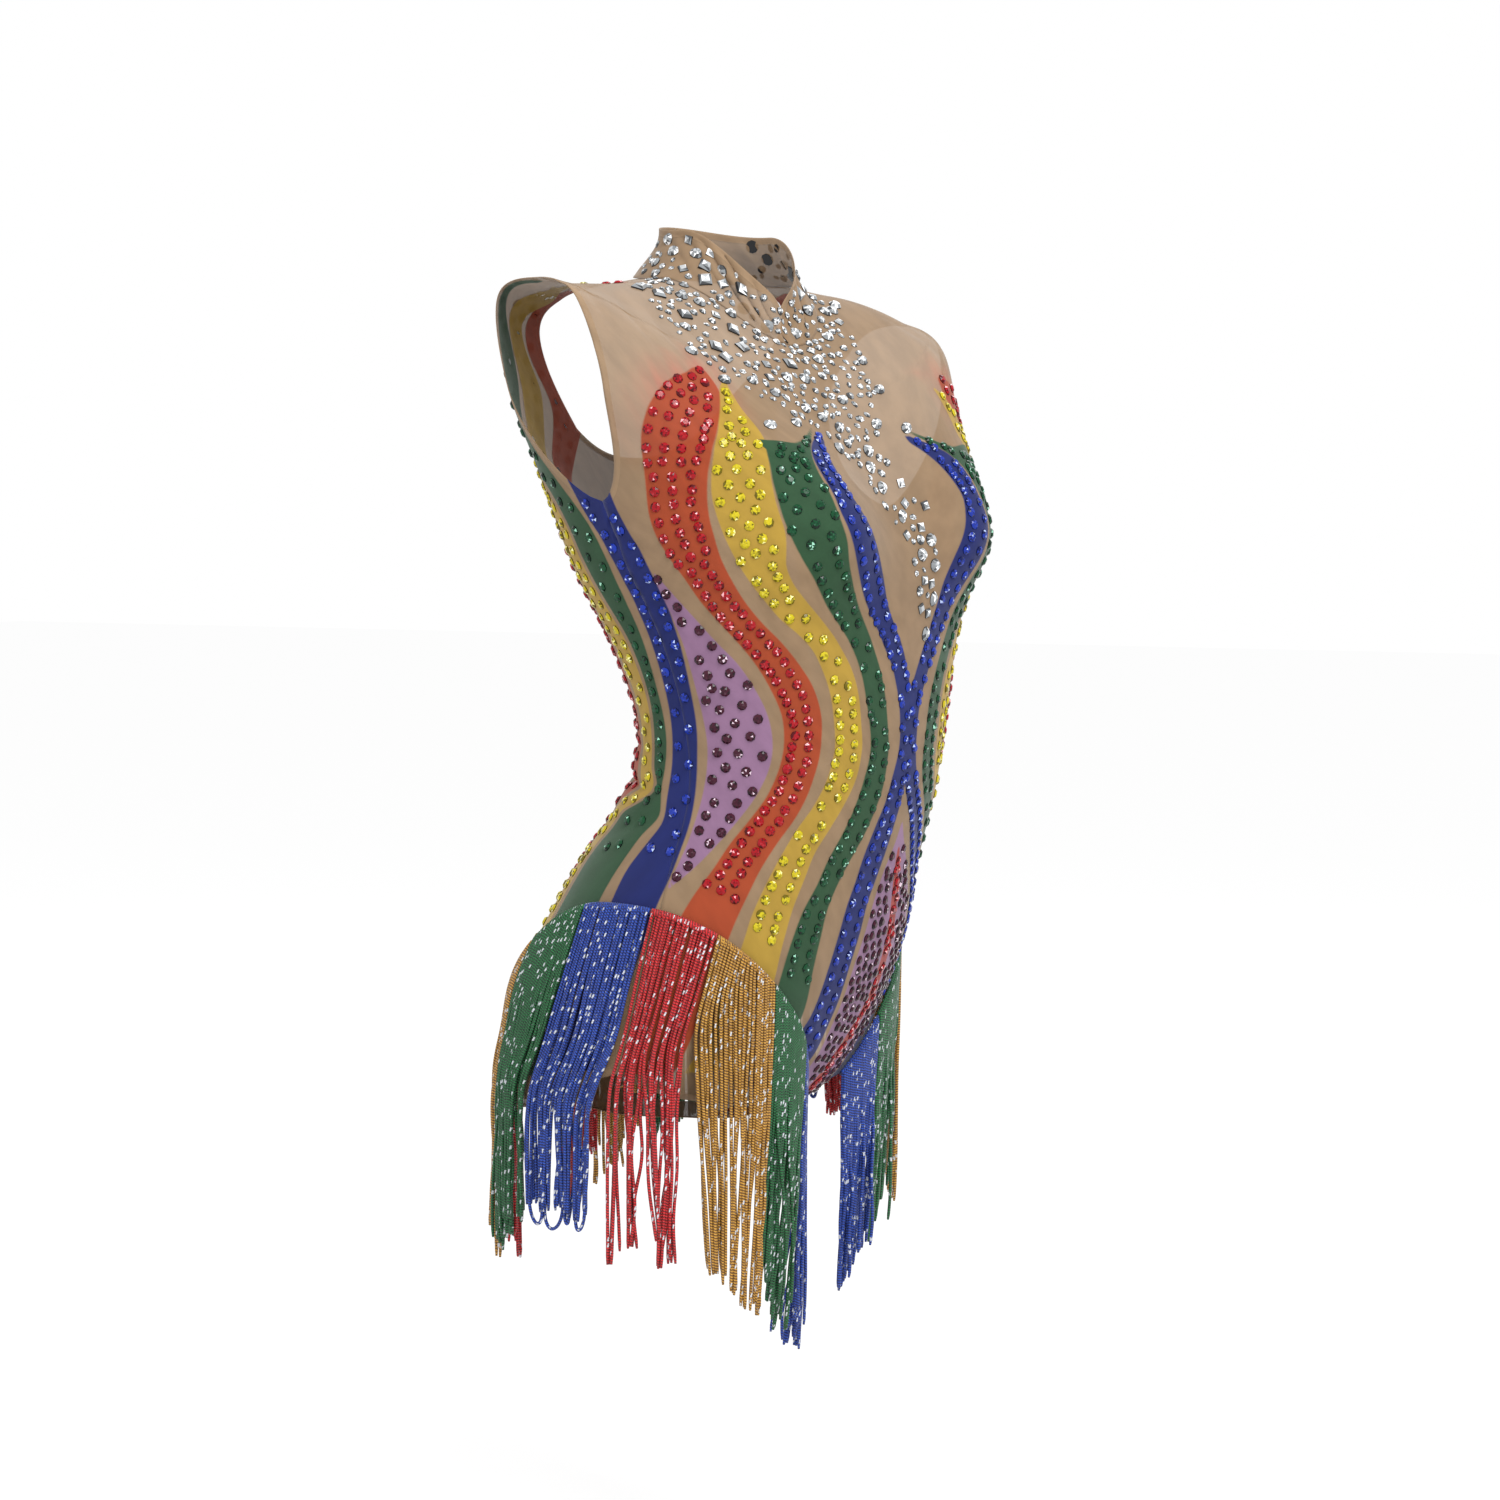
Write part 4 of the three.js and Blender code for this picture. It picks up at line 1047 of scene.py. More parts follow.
for colour_name, index, margin, packing, most, gap, order in STONE_ROWS:
    for side in (-1, 1):
        u, t = stones_along(STRIPES[colour_name][index], side, margin, packing, most, order)
        if colour_name == "purple" and index == 1:
            clear_of = np.interp(t, *np.array([(a, c) for a, _, c in STRIPES["crimson"][0]]).T)
            beyond = np.abs(charted(u, t)) > clear_of + CRIMSON_ROOM
            u, t = u[beyond], t[beyond]
        keep = is_cloth(u, t) & (t < fringe_level(u) - gap)
        spots = found.setdefault(colour_name, [[], []])
        spots[0].append(u[keep])
        spots[1].append(t[keep])

round_stone = cut_stone(8, 0.56, 0.52, 0.16)
stone_pieces = []
for colour_name, (angles, levels) in found.items():
    u = np.concatenate(angles)
    t = np.concatenate(levels)
    frames = frames_on(face, u, t, 0, CROTCH)
    radius = STONE_RADIUS * (1 + rng.normal(0, 0.025, len(u)))
    turn = rng.uniform(0, 2 * np.pi, len(u))
    finish = stone_finish[colour_name]
    piece = set_stones("stones_" + colour_name, round_stone, frames, radius, turn, colour_painted_light, finish)
    stone_pieces.append(piece)
    print("stones,", colour_name + ":", len(u))

# %% [markdown]
# Clear stones crowd the collar and the neckline and thin out in a tail between the cups. The largest, of
# four cuts, are listed one by one: angle, level, cut, turn in degrees, and whether the other side has one
# too.
# Smaller ones are dropped at random between them, and one that would touch a neighbour is not set.

# %% Clear stones
NECK_STONES = [
    (-75, 1.1, "square", 10, False), (-66.5, 1.03, "square", 30, False),
    (-62.5, 0.64, "round", 0, True), (-55.5, 0.51, "round", 0, True), (-51, 1.34, "square", 35, False),
    (-46, 1.78, "oval", 35, False), (-46, 0.64, "small_square", 20, True),
    (-43.5, 0.14, "round", 0, False), (-36.5, 0.86, "square", 8, False),
    (-38.5, 2.69, "oval", 25, False), (-35.5, 2.02, "square", 12, False),
    (-31.5, 2.3, "square", 60, False), (-29.5, 1.5, "square", 50, False),
    (-31, 3.08, "oval", 25, False), (-26.5, 3.79, "oval", 20, False), (-24, 2.73, "oval", 35, False),
    (-20.5, 1.85, "small_square", 15, False), (-17.5, 3.55, "oval", 20, False),
    (-19.5, 2.36, "small_square", 20, False), (-18.5, 2.85, "oval", 30, False),
    (-14, 2.12, "round", 0, False), (-11.5, 1.45, "square", 5, False), (-7.5, 2.0, "round", 0, False),
    (-11, 3.04, "oval", 40, False), (6.5, 1.03, "round", 0, False), (29.5, 0.45, "round", 0, False),
    (-7, 3.19, "oval", 20, False), (24, 1.64, "oval", 20, False), (16, 2.53, "oval", 20, False),
    (7, 3.32, "oval", 25, False), (13.5, 3.51, "oval", 25, False), (52, 0.3, "oval", 60, False),
    (8, 0.5, "small_square", 30, False), (2.5, 2.63, "oval", 20, False),
    (-3.5, 3.41, "oval", 40, False), (-8, 3.93, "round", 0, False), (0.5, 3.93, "round", 0, False),
    (-1, 4.25, "round", 0, False), (-0.5, 4.6, "round", 0, False),
    (4.5, 4.52, "small_square", 10, False), (8.3, 4.9, "small_square", 15, False),
    (3.4, 4.86, "small_square", 40, False), (1.5, 5.08, "oval", 60, False),
    (5.4, 5.28, "small_square", 5, False), (0.8, 5.42, "small_square", 30, False),
    (7.2, 5.5, "round", 0, False), (3.8, 5.75, "round", 0, False), (7.6, 5.92, "round", 0, False),
    (3.9, 6.15, "small_square", 5, False), (6.4, 6.2, "small_square", 15, False),
    (7.6, 6.42, "oval", 80, False), (2.6, 6.55, "small_square", 25, False),
    (5.4, 6.62, "small_square", 10, False), (4.6, 6.9, "oval", 60, False),
]
COLLAR_STONES = [
    (-94.5, 0.53, "round", 0, True), (-66, 0.42, "square", 5, True), (-62.5, 0.2, "square", 40, False),
    (-52.5, 0.62, "round", 0, False), (-40, 0.5, "square", 10, True),
    (-78, 0.2, "small_square", 40, True), (-18.5, 0.22, "round", 0, False),
    (-82.5, 0.81, "small_square", 0, False), (-74.5, 0.56, "round", 0, False),
    (-64.5, 0.72, "small_square", 15, False), (-27, 0.34, "small_square", 30, False),
    (7, 0.2, "round", 0, False), (-107, 0.8, "round", 0, True), (-51.5, 0.36, "small_square", 45, True),
    (-35.5, 0.26, "round", 0, True),
]
CUTS = {
    "round": (cut_stone(10, 0.58, 0.6, 0.14), 4.4),
    "square": (cut_stone(4, 0.62, 0.42, 0.16, apex=0.1), 5.8),
    "small_square": (cut_stone(4, 0.62, 0.42, 0.16, apex=0.1), 4.0),
    "oval": (cut_stone(10, 0.58, 0.62, 0.14, long=1.35), 3.7),
    "small": (cut_stone(8, 0.55, 0.6, 0.16), 2.8),
    "lozenge": (cut_stone(6, 0.5, 0.6, 0.14, long=1.6), 2.2),
}
# Level, and the angles between which small stones fall there.
TAIL = [
    (0.0, -98, 74), (0.4, -92, 60), (0.9, -78, 40), (1.5, -62, 29), (2.1, -49, 18), (2.75, -37, 12),
    (3.1, -27, 9), (3.4, -13, 7), (3.75, -9, 3), (4.5, -4, 4), (5.0, -1.5, 8), (6.2, 1, 8.5),
    (6.8, 2.5, 6.5),
]
SMALL_DRAWS = 1500
COLLAR_DRAWS = 900
RIM_GAP = 0.3  # mm between the rims of clear stones
SLIM_SHARE = 0.45  # of the small stones
SLIM_SIZE = 0.72  # of a round one's size


def with_mirror(stones):
    """Rows of stones as arrays by cut, those marked True on both sides."""
    by_cut = {}
    for u, t, cut, turn, both in stones:
        rows = by_cut.setdefault(cut, [])
        rows.append((u, t, turn))
        if both:
            rows.append((-u, t, -turn))
    return {cut: np.array(rows, float).T for cut, rows in by_cut.items()}


def drop_small(surface, taken, draws, spot):
    """Small stones dropped one after another where none lies closer than their rims allow."""
    places = [place for place, _ in taken]
    reaches = [reach for _, reach in taken]
    kept = []
    for _ in range(draws):
        u, t, radius, chance = spot()
        if rng.random() > chance:
            continue
        place = surface(np.array([u]), np.array([t]))[0]
        gaps = np.linalg.norm(np.array(places) - place, axis=1) - np.array(reaches) - radius
        if gaps.min() < RIM_GAP:
            continue
        places.append(place)
        reaches.append(radius)
        kept.append((u, t, radius))
    return np.array(kept).T


def neck_spot():
    """A draw on the neckline: angle, level, radius and how likely it stays there."""
    t = 0.12 + 6.6 * rng.random() ** 1.5
    levels, near, far = np.array(TAIL, float).T
    side = rng.uniform(0, 1)
    u = float(np.interp(t, levels, near)) * (1 - side) + float(np.interp(t, levels, far)) * side
    radius = float(rng.choice([2.1, 2.5, 2.9, 3.5], p=[0.2, 0.36, 0.3, 0.14]))
    thinning = float(np.interp(t, [0, 2.6, 3.8, 4.4, 7], [0.9, 1.0, 0.6, 0.25, 0.12]))
    return u, t, radius, thinning


def collar_spot():
    """A draw on the collar."""
    s = rng.uniform(0.08, 0.82)
    u = rng.uniform(-124, 112)
    radius = float(rng.choice([2.1, 2.5, 2.9, 3.6], p=[0.24, 0.36, 0.28, 0.12]))
    return u, s, radius, 0.9 * (1.15 - s) * (1.0 if abs(u) < 80 else 0.7)


def set_clear(prefix, surface, stones, spot, draws, highest):
    """Every clear stone of one surface, a mesh for each cut."""
    taken = []
    made = []
    finish = stone_finish["clear"]
    for cut, (u, t, turn) in with_mirror(stones).items():
        template, radius = CUTS[cut]
        frames = frames_on(surface, u, t, 0, highest)
        sizes = np.full(len(u), radius)
        name = prefix + "_" + cut
        made.append(set_stones(name, template, frames, sizes, np.radians(turn), clear_painted_light, finish))
        taken += [(place, radius * 1.05) for place in frames[0]]
    u, t, radius = drop_small(surface, taken, draws, spot)
    slim = rng.random(len(u)) < SLIM_SHARE
    for cut, chosen, size in (("small", ~slim, 1.0), ("lozenge", slim, SLIM_SIZE)):
        frames = frames_on(surface, u[chosen], t[chosen], 0, highest)
        turn = rng.uniform(0, 2 * np.pi, chosen.sum())
        name = prefix + "_" + cut
        sizes = radius[chosen] * size
        made.append(set_stones(name, CUTS[cut][0], frames, sizes, turn, clear_painted_light, finish))
    print(prefix, "clear stones:", len(u) + len(taken))
    return made


def collar_down(u, t):
    """The collar's face with levels that run down, as on the torso."""
    return collar_face(u, 1 - t)


def flipped(stones):
    """Collar stones with their heights turned into levels that run down."""
    return [(u, 1 - s, cut, turn, both) for u, s, cut, turn, both in stones]


def collar_spot_down():
    """A draw on the collar with its height turned into a level that runs down."""
    u, s, radius, chance = collar_spot()
    return u, 1 - s, radius, chance


neck_clear = set_clear("clear_neck", face, NECK_STONES, neck_spot, SMALL_DRAWS, CROTCH)
collar_clear = set_clear("clear_collar", collar_down, flipped(COLLAR_STONES), collar_spot_down,
                         COLLAR_DRAWS, 1)

# %% [markdown]
# The fringe is chain cord, just over 2 mm thick, sewn on in eight lengths a side. A cord lies over the hip
# while the hip widens and then hangs straight. Cords stick together in small bundles as they fall, a few
# stray, and their cut ends are uneven. Each cord is a five-sided tube along its own path.

# %% Paths of the cords
CORD_RADIUS = 1.15  # mm
CORD_SAMPLES = 44
CORD_SIDES = 5
CORD_LOWEST = 13.0  # level where the cloth under a cord ends, at the latest
BLOCK_GAP = 0.35  # degrees left free at each end of a length
# Each length of fringe: where it ends in degrees, its cords' length and pitch in mm, how far they gather,
# how unevenly they are cut, how far they hang back in mm, and how far the whole length narrows.
FRINGE_COLUMNS = "colour end length pitch gather uneven lean draw".split()
FRINGE_TABLE = [
    ("blue", 25, 178, 2.3, 0.75, 0.06, 10, 0.2),
    ("green", 45, 188, 2.2, 0.6, 0.05, 15, 0.3),
    ("gold", 68, 214, 2.3, 0.6, 0.04, 4, 0.3),
    ("red", 92, 226, 3.0, 0.95, 0.13, 0, 0.0),
    ("blue", 118, 200, 2.4, 0.75, 0.04, 0, 0.1),
    ("green", 142, 206, 2.4, 0.6, 0.04, 0, 0.1),
    ("gold", 157, 182, 2.5, 0.6, 0.05, 0, 0.0),
    ("red", 170, 150, 2.7, 0.75, 0.08, 0, 0.0),
]
FRINGE = [dict(zip(FRINGE_COLUMNS, row)) for row in FRINGE_TABLE]
LEFT_SHORTER = 0.86
LOOPED = 118  # the end of the length at the side, some of whose cords are left as loops
OVER_HIP = 50  # samples along the cloth under a cord
HANGING = 30  # samples along its hanging part
SPARE = 40  # mm of path beyond a cord's end
FREE_SHARE = 0.8  # of a cord's length that may lie on the hip
EASINGS = 6


def hanging(u, lengths, clear):
    """Paths of cords rooted at angles u: over the hip to its widest place, then down, evenly sampled."""
    root = fringe_level(u)
    share = np.linspace(0, 1, OVER_HIP)
    t = root[:, None] + (CORD_LOWEST - root)[:, None] * share
    points = over(u[:, None] + 0 * t, t, clear)
    away = unit(points[:, 0] * np.array([1, 1, 0]))
    reach = (points * away[:, None]).sum(-1)
    allowed = points[:, :1, 2] - points[..., 2] < FREE_SHARE * lengths[:, None]
    widest = np.argmax(np.where(allowed, reach + 1e-3 * share[::-1], -1e9), axis=1)
    paths = []
    for line, stop, length in zip(points, widest, lengths):
        line = line[: stop + 1]
        foot = line[-1] - np.array([0, 0, length + SPARE])
        line = np.vstack([line, foot + (line[-1] - foot) * np.linspace(0.98, 0, HANGING)[:, None]])
        run = np.insert(np.cumsum(np.linalg.norm(np.diff(line, axis=0), axis=1)), 0, 0)
        at = np.linspace(0, length, CORD_SAMPLES)
        paths.append(np.stack([np.interp(at, run, line[:, axis]) for axis in range(3)], axis=-1))
    paths = np.array(paths)
    for _ in range(EASINGS):
        paths[:, 1:-1] = paths[:, 1:-1] * 0.5 + (paths[:, :-2] + paths[:, 2:]) * 0.25
    return paths


def bundled(paths, gather):
    """The paths drawn into bundles of two to five: each cord slides to a place round the bundle's middle."""
    number = len(paths)
    sizes = []
    while sum(sizes) < number:
        sizes.append(int(rng.integers(2, 6)))
    bundle = np.repeat(np.arange(len(sizes)), sizes)[:number]
    down = np.linspace(0, 1, CORD_SAMPLES)
    draw = smooth_step(down, 0.12, 1.0)[None, :, None] * gather
    away = unit(paths[:, :1] * np.array([1, 1, 0]))
    aside = np.cross(np.array([0, 0, 1.0]), away)
    result = paths.copy()
    for b in range(bundle.max() + 1):
        member = np.nonzero(bundle == b)[0]
        centre = paths[member].mean(0, keepdims=True)
        ring = 2 * np.pi * np.arange(len(member)) / len(member) + rng.uniform(0, 6)
        spread_out = 1.15 * CORD_RADIUS / np.sin(np.pi / max(len(member), 2))
        target = centre + aside[member] * (np.cos(ring) * spread_out)[:, None, None]
        target = target + away[member] * (1.2 + np.sin(ring) * spread_out * 0.8)[:, None, None]
        result[member] += (target - paths[member]) * draw
        drift = rng.normal(0, 3.6) * down**2
        result[member] += aside[member] * drift[None, :, None]
    return result, away, aside


def swayed(paths, away, aside, stray_share):
    """Small waves along every cord and a drift on a few strays."""
    number = len(paths)
    down = np.linspace(0, 1, CORD_SAMPLES)[None, :]
    waves = rng.uniform(1.2, 3.2, (number, 1))
    phase = rng.uniform(0, 2 * np.pi, (number, 1))
    grow = smooth_step(down, 0.05, 0.6)
    sway = rng.normal(0, 0.75, (number, 1)) * np.sin(2 * np.pi * waves * down + phase) * grow
    later = np.sin(2 * np.pi * waves * down + phase + 1.5)
    out = np.abs(rng.normal(0, 0.55, (number, 1))) * (1 + later) * grow
    stray = rng.random((number, 1)) < stray_share
    drift = np.where(stray, rng.normal(0, 9.0, (number, 1)), 0) * smooth_step(down, 0.35, 1.0)
    out = out + np.where(stray, 1.8, 0) * smooth_step(down, 0.2, 0.6)
    return paths + aside * (sway + drift)[..., None] + away * out[..., None]


# %% [markdown]
# A tube carries a ring of points along each path. The ring's plane is set by the path's direction and the
# direction away from the body. Its UV map runs round the cord and along it in metres, so that the chain
# pattern and the silver thread keep their size.

# %% Tubes
def tubes(paths, radius, away):
    """Closed tubes along paths of equal sampling: points, triangles of sides and caps, and the points' UV."""
    number, samples, _ = paths.shape
    direction = unit(np.gradient(paths, axis=1))
    across = unit(np.cross(direction, np.broadcast_to(away, paths.shape)))
    outer = np.cross(across, direction)
    angle = 2 * np.pi * np.arange(CORD_SIDES) / CORD_SIDES
    ring = across[:, :, None] * np.cos(angle)[:, None] + outer[:, :, None] * np.sin(angle)[:, None]
    thick = np.full(samples, radius)
    thick[[0, -1]] = radius * 0.7
    points = paths[:, :, None] + ring * thick[None, :, None, None]
    run = np.cumsum(np.linalg.norm(np.diff(paths, axis=1, prepend=paths[:, :1]), axis=-1), axis=1)
    uv = np.empty((number, samples, CORD_SIDES, 2))
    uv[..., 0] = np.abs(np.arange(CORD_SIDES) / CORD_SIDES * 2 - 1)
    uv[..., 1] = run[:, :, None] * MM + np.arange(number)[:, None, None] * 0.731
    i, k = np.meshgrid(np.arange(samples - 1), np.arange(CORD_SIDES), indexing="ij")
    a = i * CORD_SIDES + k
    b = i * CORD_SIDES + (k + 1) % CORD_SIDES
    sides = np.concatenate([
        np.stack([a, b, b + CORD_SIDES], axis=-1).reshape(-1, 3),
        np.stack([a, b + CORD_SIDES, a + CORD_SIDES], axis=-1).reshape(-1, 3),
    ])
    fan = np.arange(1, CORD_SIDES - 1)
    top = np.stack([0 * fan, fan + 1, fan], axis=-1)
    end = (samples - 1) * CORD_SIDES + np.stack([0 * fan, fan, fan + 1], axis=-1)
    one = np.concatenate([sides, top, end])
    triangles = one[None] + (np.arange(number) * samples * CORD_SIDES)[:, None, None]
    return points.reshape(-1, 3), triangles.reshape(-1, 3), uv.reshape(-1, 2)


# %% [markdown]
# Chain cord is twisted and knitted from shiny yarn with one silver thread. The twist is a slanted ripple in
# the bump, and painted shade darkens the colour along the same ripple, in the grooves of the twist. The
# thread comes to the surface in short slanted dashes at uneven intervals.

# %% The finish of the cords
STITCHES = 3600.0  # radians of the knit's ripple in a metre
TWIST = 3.6  # radians that it slants over half the way round
DASHES = 260.0  # places for a dash in a metre
SILVER_SHARE = 0.28  # of those places that show silver
# For each cord colour: the painted shade in the twist's grooves, and the full colour.
CORD_COLOURS = {
    "blue": (linear(8, 20, 80), linear(28, 74, 176)),
    "green": (linear(3, 44, 22), linear(16, 108, 52)),
    "gold": (linear(96, 60, 14), linear(204, 152, 56)),
    "red": (linear(104, 6, 12), linear(206, 24, 30)),
}


def cord_material(name, deep, full):
    """Knitted yarn, with painted shade in the grooves of its twist, and a silver thread that surfaces in
    dashes.
    """
    material, tree, shader = new_material(name)
    place = node(tree, "UVMap", uv_map="along").outputs[0]
    split = node(tree, "SeparateXYZ", {0: place})
    round_it, along = split.outputs[0], split.outputs[1]
    twist = count(tree, "MULTIPLY", round_it, TWIST)
    knit = count(tree, "SINE", count(tree, "MULTIPLY_ADD", along, STITCHES, twist))
    shade_place = count(tree, "MULTIPLY", along, 90.0)
    uneven = node(tree, "TexNoise", {"W": shade_place, "Scale": 1.0}, noise_dimensions="1D").outputs[0]
    unevenness = spread(tree, uneven, 0.3, 0.7, 0.6, 1.0)
    # Painted shade: the colour darkens into the grooves of the twist, where the bump sinks.
    painted_twist_light = count(tree, "MULTIPLY", spread(tree, knit, -0.8, 0.9), unevenness)
    yarn_with_painted_shade = blended(tree, painted_twist_light, deep, full)
    cell = count(tree, "FLOOR", count(tree, "MULTIPLY", along, DASHES))
    pick = node(tree, "TexWhiteNoise", {"W": cell}, noise_dimensions="1D").outputs[0]
    inside_cell = count(tree, "FRACT", count(tree, "MULTIPLY", along, DASHES))
    starts = spread(tree, inside_cell, 0.05, 0.25)
    ends = spread(tree, inside_cell, 0.9, 0.7)
    dash = count(tree, "MULTIPLY", starts, ends)
    from_side = count(tree, "FRACT", count(tree, "MULTIPLY", pick, 7.0))
    slant = count(tree, "MULTIPLY_ADD", inside_cell, 0.3, from_side)
    side = count(tree, "ABSOLUTE", count(tree, "SUBTRACT", round_it, slant))
    thread = count(tree, "MULTIPLY", dash, spread(tree, side, 0.20, 0.12))
    silver = count(tree, "MULTIPLY", thread, count(tree, "GREATER_THAN", pick, 1 - SILVER_SHARE))
    tree.links.new(blended(tree, silver, yarn_with_painted_shade, linear(196, 200, 206)), shader.inputs["Base Color"])
    tree.links.new(spread(tree, silver, 0.0, 1.0, 0.5, 0.25), shader.inputs["Roughness"])
    bump = node(tree, "Bump", {"Height": knit, "Strength": 0.5, "Distance": 0.0004})
    tree.links.new(bump.outputs[0], shader.inputs["Normal"])
    shader.inputs["Specular IOR Level"].default_value = 0.4
    shader.inputs["Sheen Weight"].default_value = 0.1
    return material


cord_finish = {name: cord_material("cord_" + name, *pair) for name, pair in CORD_COLOURS.items()}
print("cord finishes:", sorted(cord_finish))

# %% [markdown]
# Each length of fringe is two layers of cords under a narrow chain-stitched tape. The cords are rooted at an
# even pitch, drawn into bundles and cut a little unevenly, and a few at the side are left as uncut loops.
# The left side's cords are shorter, as they show in the photo.

# %% Making the fringe
TAPE_STEPS = 24
TAPE_SIDES = 8
STRAYS = 0.07  # share of the cords


def tape(u_from, u_to, side, start):
    """The tape as a closed flat band: a section of eight points carried along the fringe line."""
    u = side * np.linspace(u_from, u_to, TAPE_STEPS + 1)[:, None]
    if side > 0:
        u = u[::-1]
    angle = 2 * np.pi * np.arange(TAPE_SIDES) / TAPE_SIDES
    down = 0.032 + 0.045 * np.cos(angle)
    out = WALL + 3.3 + 1.3 * np.sin(angle)
    points = over(u + 0 * angle, fringe_level(u) + down, out + 0 * u)
    i, k = np.meshgrid(np.arange(TAPE_STEPS), np.arange(TAPE_SIDES), indexing="ij")
    a = i * TAPE_SIDES + k
    b = i * TAPE_SIDES + (k + 1) % TAPE_SIDES
    fan = np.arange(1, TAPE_SIDES - 1)
    faces = np.concatenate([
        np.stack([a, b, b + TAPE_SIDES], axis=-1).reshape(-1, 3),
        np.stack([a, b + TAPE_SIDES, a + TAPE_SIDES], axis=-1).reshape(-1, 3),
        np.stack([0 * fan, fan + 1, fan], axis=-1),
        TAPE_STEPS * TAPE_SIDES + np.stack([0 * fan, fan, fan + 1], axis=-1),
    ])
    run = np.insert(np.cumsum(np.linalg.norm(np.diff(points[:, 0], axis=0), axis=1)), 0, 0) * MM
    uv = np.stack([np.abs(angle / np.pi - 1) + 0 * u, run[:, None] + 0 * angle], axis=-1)
    return points.reshape(-1, 3), faces + start, uv.reshape(-1, 2)


def with_loops(paths, away):
    """The paths and, from every fifth cord's end to the third cord's after it, a loop: half an ellipse."""
    first = paths[0:-4:5, -1]
    second = paths[3::5, -1][: len(first)]
    first = first[: len(second)]
    turn = np.linspace(0, np.pi, CORD_SAMPLES)[None, :, None]
    mean = (first + second)[:, None] / 2
    half = (first - second)[:, None] / 2
    hang = np.linalg.norm(half, axis=-1, keepdims=True) + 4
    loops = mean + half * np.cos(turn) - hang * np.sin(turn) * np.array([0, 0, 1.0])
    return np.concatenate([paths, loops]), np.concatenate([away, away[: len(loops)]])


def make_block(name, side, u_from, u_to, block):
    """One length of fringe: two layers of cords, bundled, swayed and cut unevenly, and their tape."""
    wide = np.linalg.norm(skin(u_to, fringe_level(u_to)) - skin(u_from, fringe_level(u_from)))
    all_points = []
    all_faces = []
    all_uv = []
    start = 0
    for layer, clear in enumerate((WALL + 2.2, WALL + 3.9)):
        number = int(round(wide / block["pitch"] * (0.75 if layer == 0 else 1.0)))
        edge = (np.arange(number) + 0.5) / number + rng.normal(0, 0.12, number) / number
        u = side * (u_from + (u_to - u_from) * edge)
        lengths = block["length"] * (1 - np.abs(rng.normal(0, block["uneven"], number)) + 0.015)
        lengths = lengths * (LEFT_SHORTER if side > 0 else 1.0)
        paths, away, aside = bundled(hanging(u, lengths, clear), block["gather"])
        paths = swayed(paths, away, aside, STRAYS)
        down = (np.linspace(0, 1, CORD_SAMPLES) ** 1.3)[:, None]
        paths = paths + block["lean"] * down * np.array([0, 1.0, 0])
        paths = paths + (paths.mean(0) - paths) * block["draw"] * down * np.array([1.0, 1.0, 0])
        if layer and block["end"] == LOOPED:
            paths, away = with_loops(paths, away)
        points, faces, uv = tubes(paths, CORD_RADIUS, away)
        uv[:, 1] += rng.uniform(0, 50)
        all_points.append(points)
        all_faces.append(faces + start)
        all_uv.append(uv)
        start += len(points)
    points, faces, uv = tape(u_from, u_to, side, start)
    all_points.append(points)
    all_faces.append(faces)
    all_uv.append(uv)
    piece = new_piece(name, np.concatenate(all_points), np.concatenate(all_faces), True,
                      cord_finish[block["colour"]])
    set_uv(piece, np.concatenate(all_uv))
    return piece


fringe_pieces = {}
for side_name, side in (("right", -1), ("left", 1)):
    u_from = FRINGE_START
    for k, block in enumerate(FRINGE):
        label = f"{side_name}_{k + 1}_{block['colour']}"
        piece = make_block("cords_" + label, side, u_from + BLOCK_GAP, block["end"] - BLOCK_GAP, block)
        fringe_pieces["fringe_" + label] = piece
        u_from = block["end"]
print("fringe triangles:", sum(len(p.data.polygons) for p in fringe_pieces.values()))

# %% [markdown]
# Every piece rides on the one body, and the solid that each sheet and each length of fringe stands for is
# hidden. The mesh is stretched by about 7 percent of its area on the wearer, so the cut has less area than
# what shows.

# %% Riding, and hiding the solids
for piece, solid in ((front, "front_panel"), (rear, "back_panel"), (neck_band, "stand_collar")):
    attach(piece, "root")
    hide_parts(solid)
for solid, piece in fringe_pieces.items():
    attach(piece, "root")
    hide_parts(solid)
for piece in stone_pieces:
    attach(piece, "root")
for piece in neck_clear + collar_clear:
    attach(piece, "root")


# %% [markdown]
# The stage is a plain pale floor some way below the garment, with soft light from a white world and three
# broad lamps: one high on the camera's right, a weak one on its left, and one behind. The floor glows a
# little, so that it meets the white world without a line.

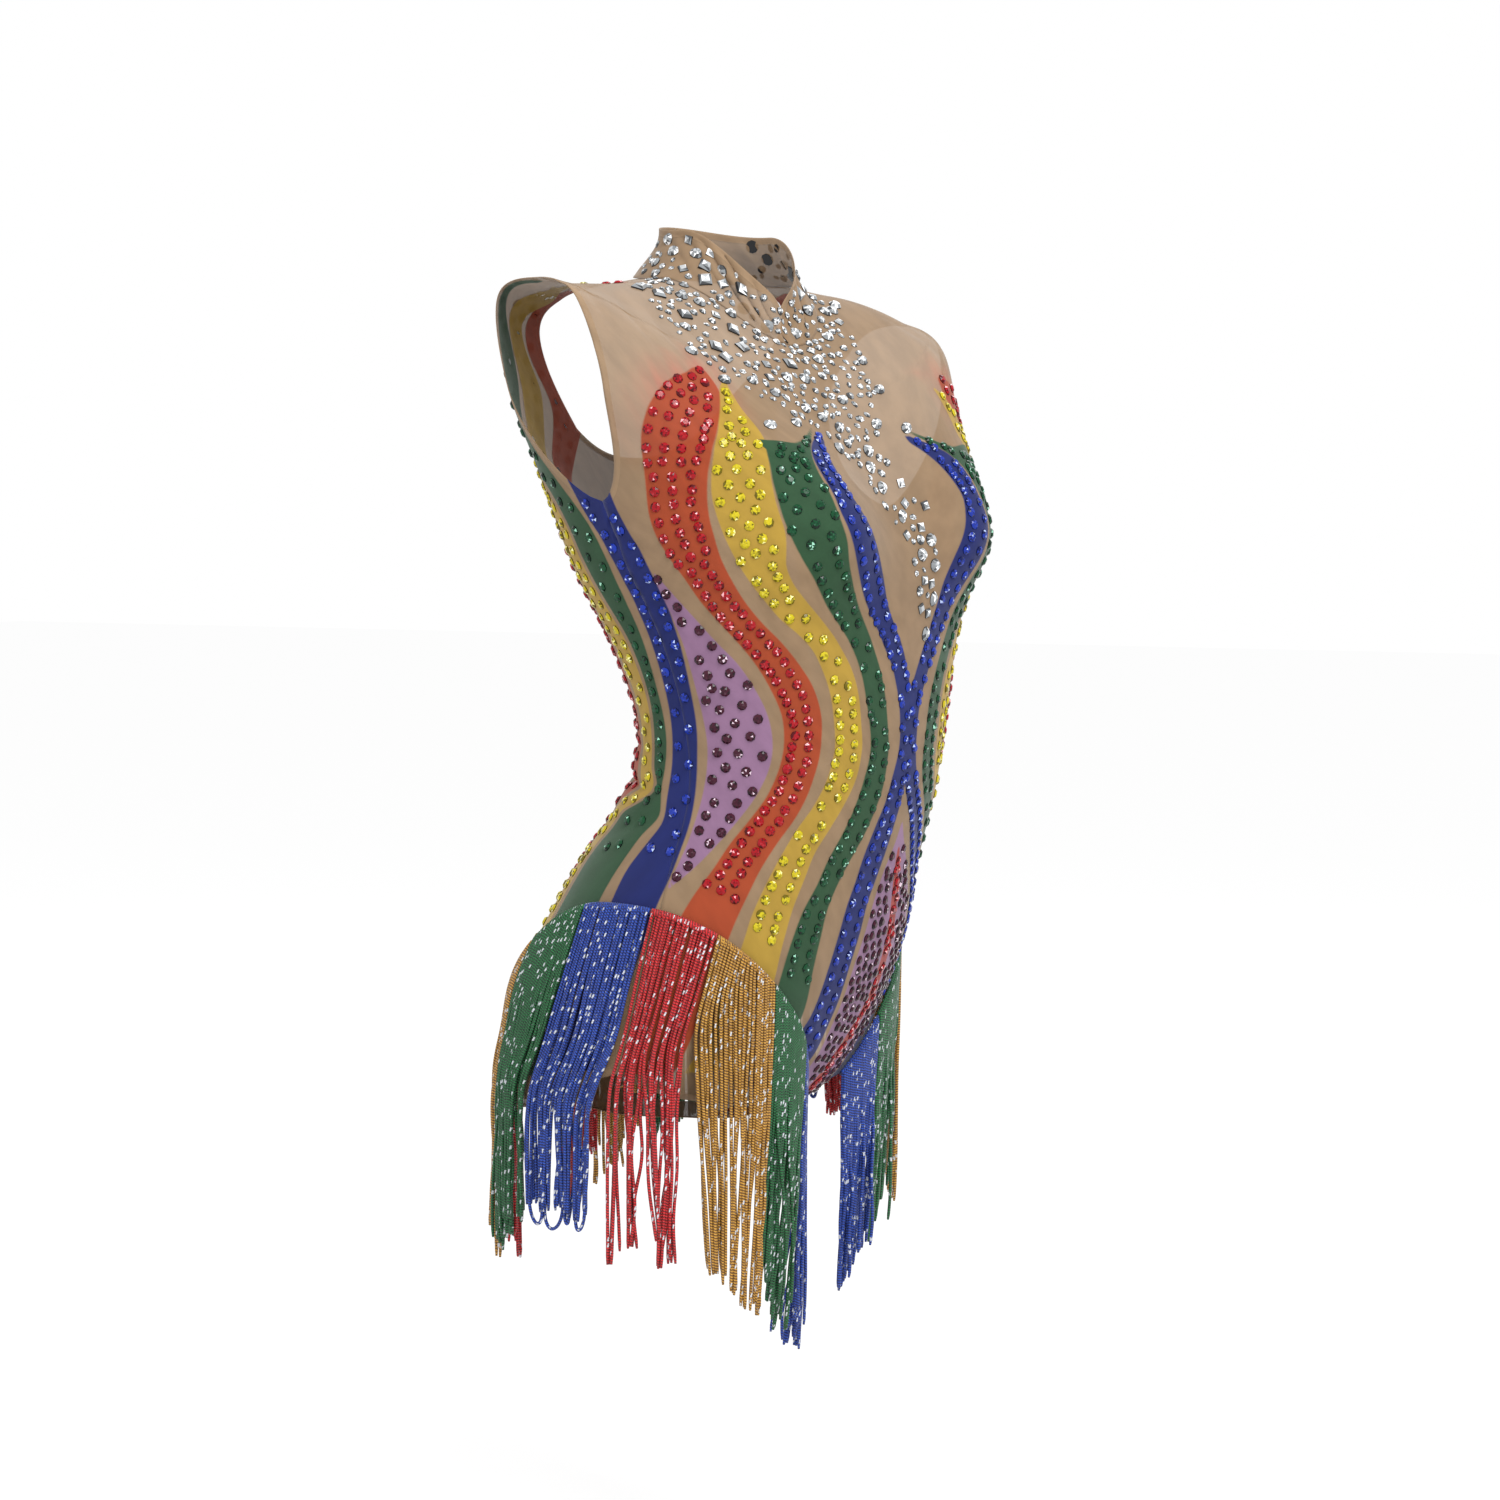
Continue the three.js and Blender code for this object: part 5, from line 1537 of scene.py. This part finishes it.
# %% Floor and light
FLOOR_DROP = 0.12  # metres below the longest cord
FLOOR_REACH = 14.0  # metres
floor_height = cad_low[2] - FLOOR_DROP
floor_mesh = bpy.data.meshes.new("floor")
signs = [(-1, -1), (1, -1), (1, 1), (-1, 1)]
corners = [(x * FLOOR_REACH, y * FLOOR_REACH, floor_height) for x, y in signs]
floor_mesh.from_pydata(corners, [], [(0, 1, 2, 3)])
floor = bpy.data.objects.new("floor", floor_mesh)
bpy.context.scene.collection.objects.link(floor)
floor_material, tree, shader = new_material("pale_floor")
shader.inputs["Base Color"].default_value = (0.34, 0.34, 0.34, 1)
shader.inputs["Roughness"].default_value = 1.0
shader.inputs["Specular IOR Level"].default_value = 0.0
shader.inputs["Emission Color"].default_value = (1.0, 1.0, 1.0, 1)
shader.inputs["Emission Strength"].default_value = 0.64
floor_mesh.materials.append(floor_material)

world = bpy.data.worlds.new("studio")
world.use_nodes = True
world.node_tree.nodes["Background"].inputs[0].default_value = (1.0, 1.0, 1.0, 1)
world.node_tree.nodes["Background"].inputs[1].default_value = 1.0
bpy.context.scene.world = world
bpy.context.scene.view_settings.view_transform = "Standard"

GARMENT_MIDDLE = -0.3  # metres, the height that the lamps aim at
LAMPS = [
    {"name": "key", "turn": 25, "up": 42, "away": 2.6, "size": 1.2, "power": 50},
    {"name": "fill", "turn": -60, "up": 20, "away": 2.8, "size": 1.6, "power": 4},
    {"name": "rim", "turn": 160, "up": 50, "away": 2.6, "size": 1.2, "power": 14},
]
for lamp in LAMPS:
    data = bpy.data.lights.new(lamp["name"], "AREA")
    data.size = lamp["size"]
    data.energy = lamp["power"]
    light = bpy.data.objects.new(lamp["name"], data)
    turn = azimuth + math.radians(lamp["turn"])
    up = math.radians(lamp["up"])
    towards = np.array([math.sin(turn) * math.cos(up), -math.cos(turn) * math.cos(up), math.sin(up)])
    light.location = towards * lamp["away"] + np.array([0, 0, GARMENT_MIDDLE])
    light.rotation_euler = (math.pi / 2 - up, 0, turn)
    bpy.context.scene.collection.objects.link(light)
print("lamps:", [lamp["name"] for lamp in LAMPS])
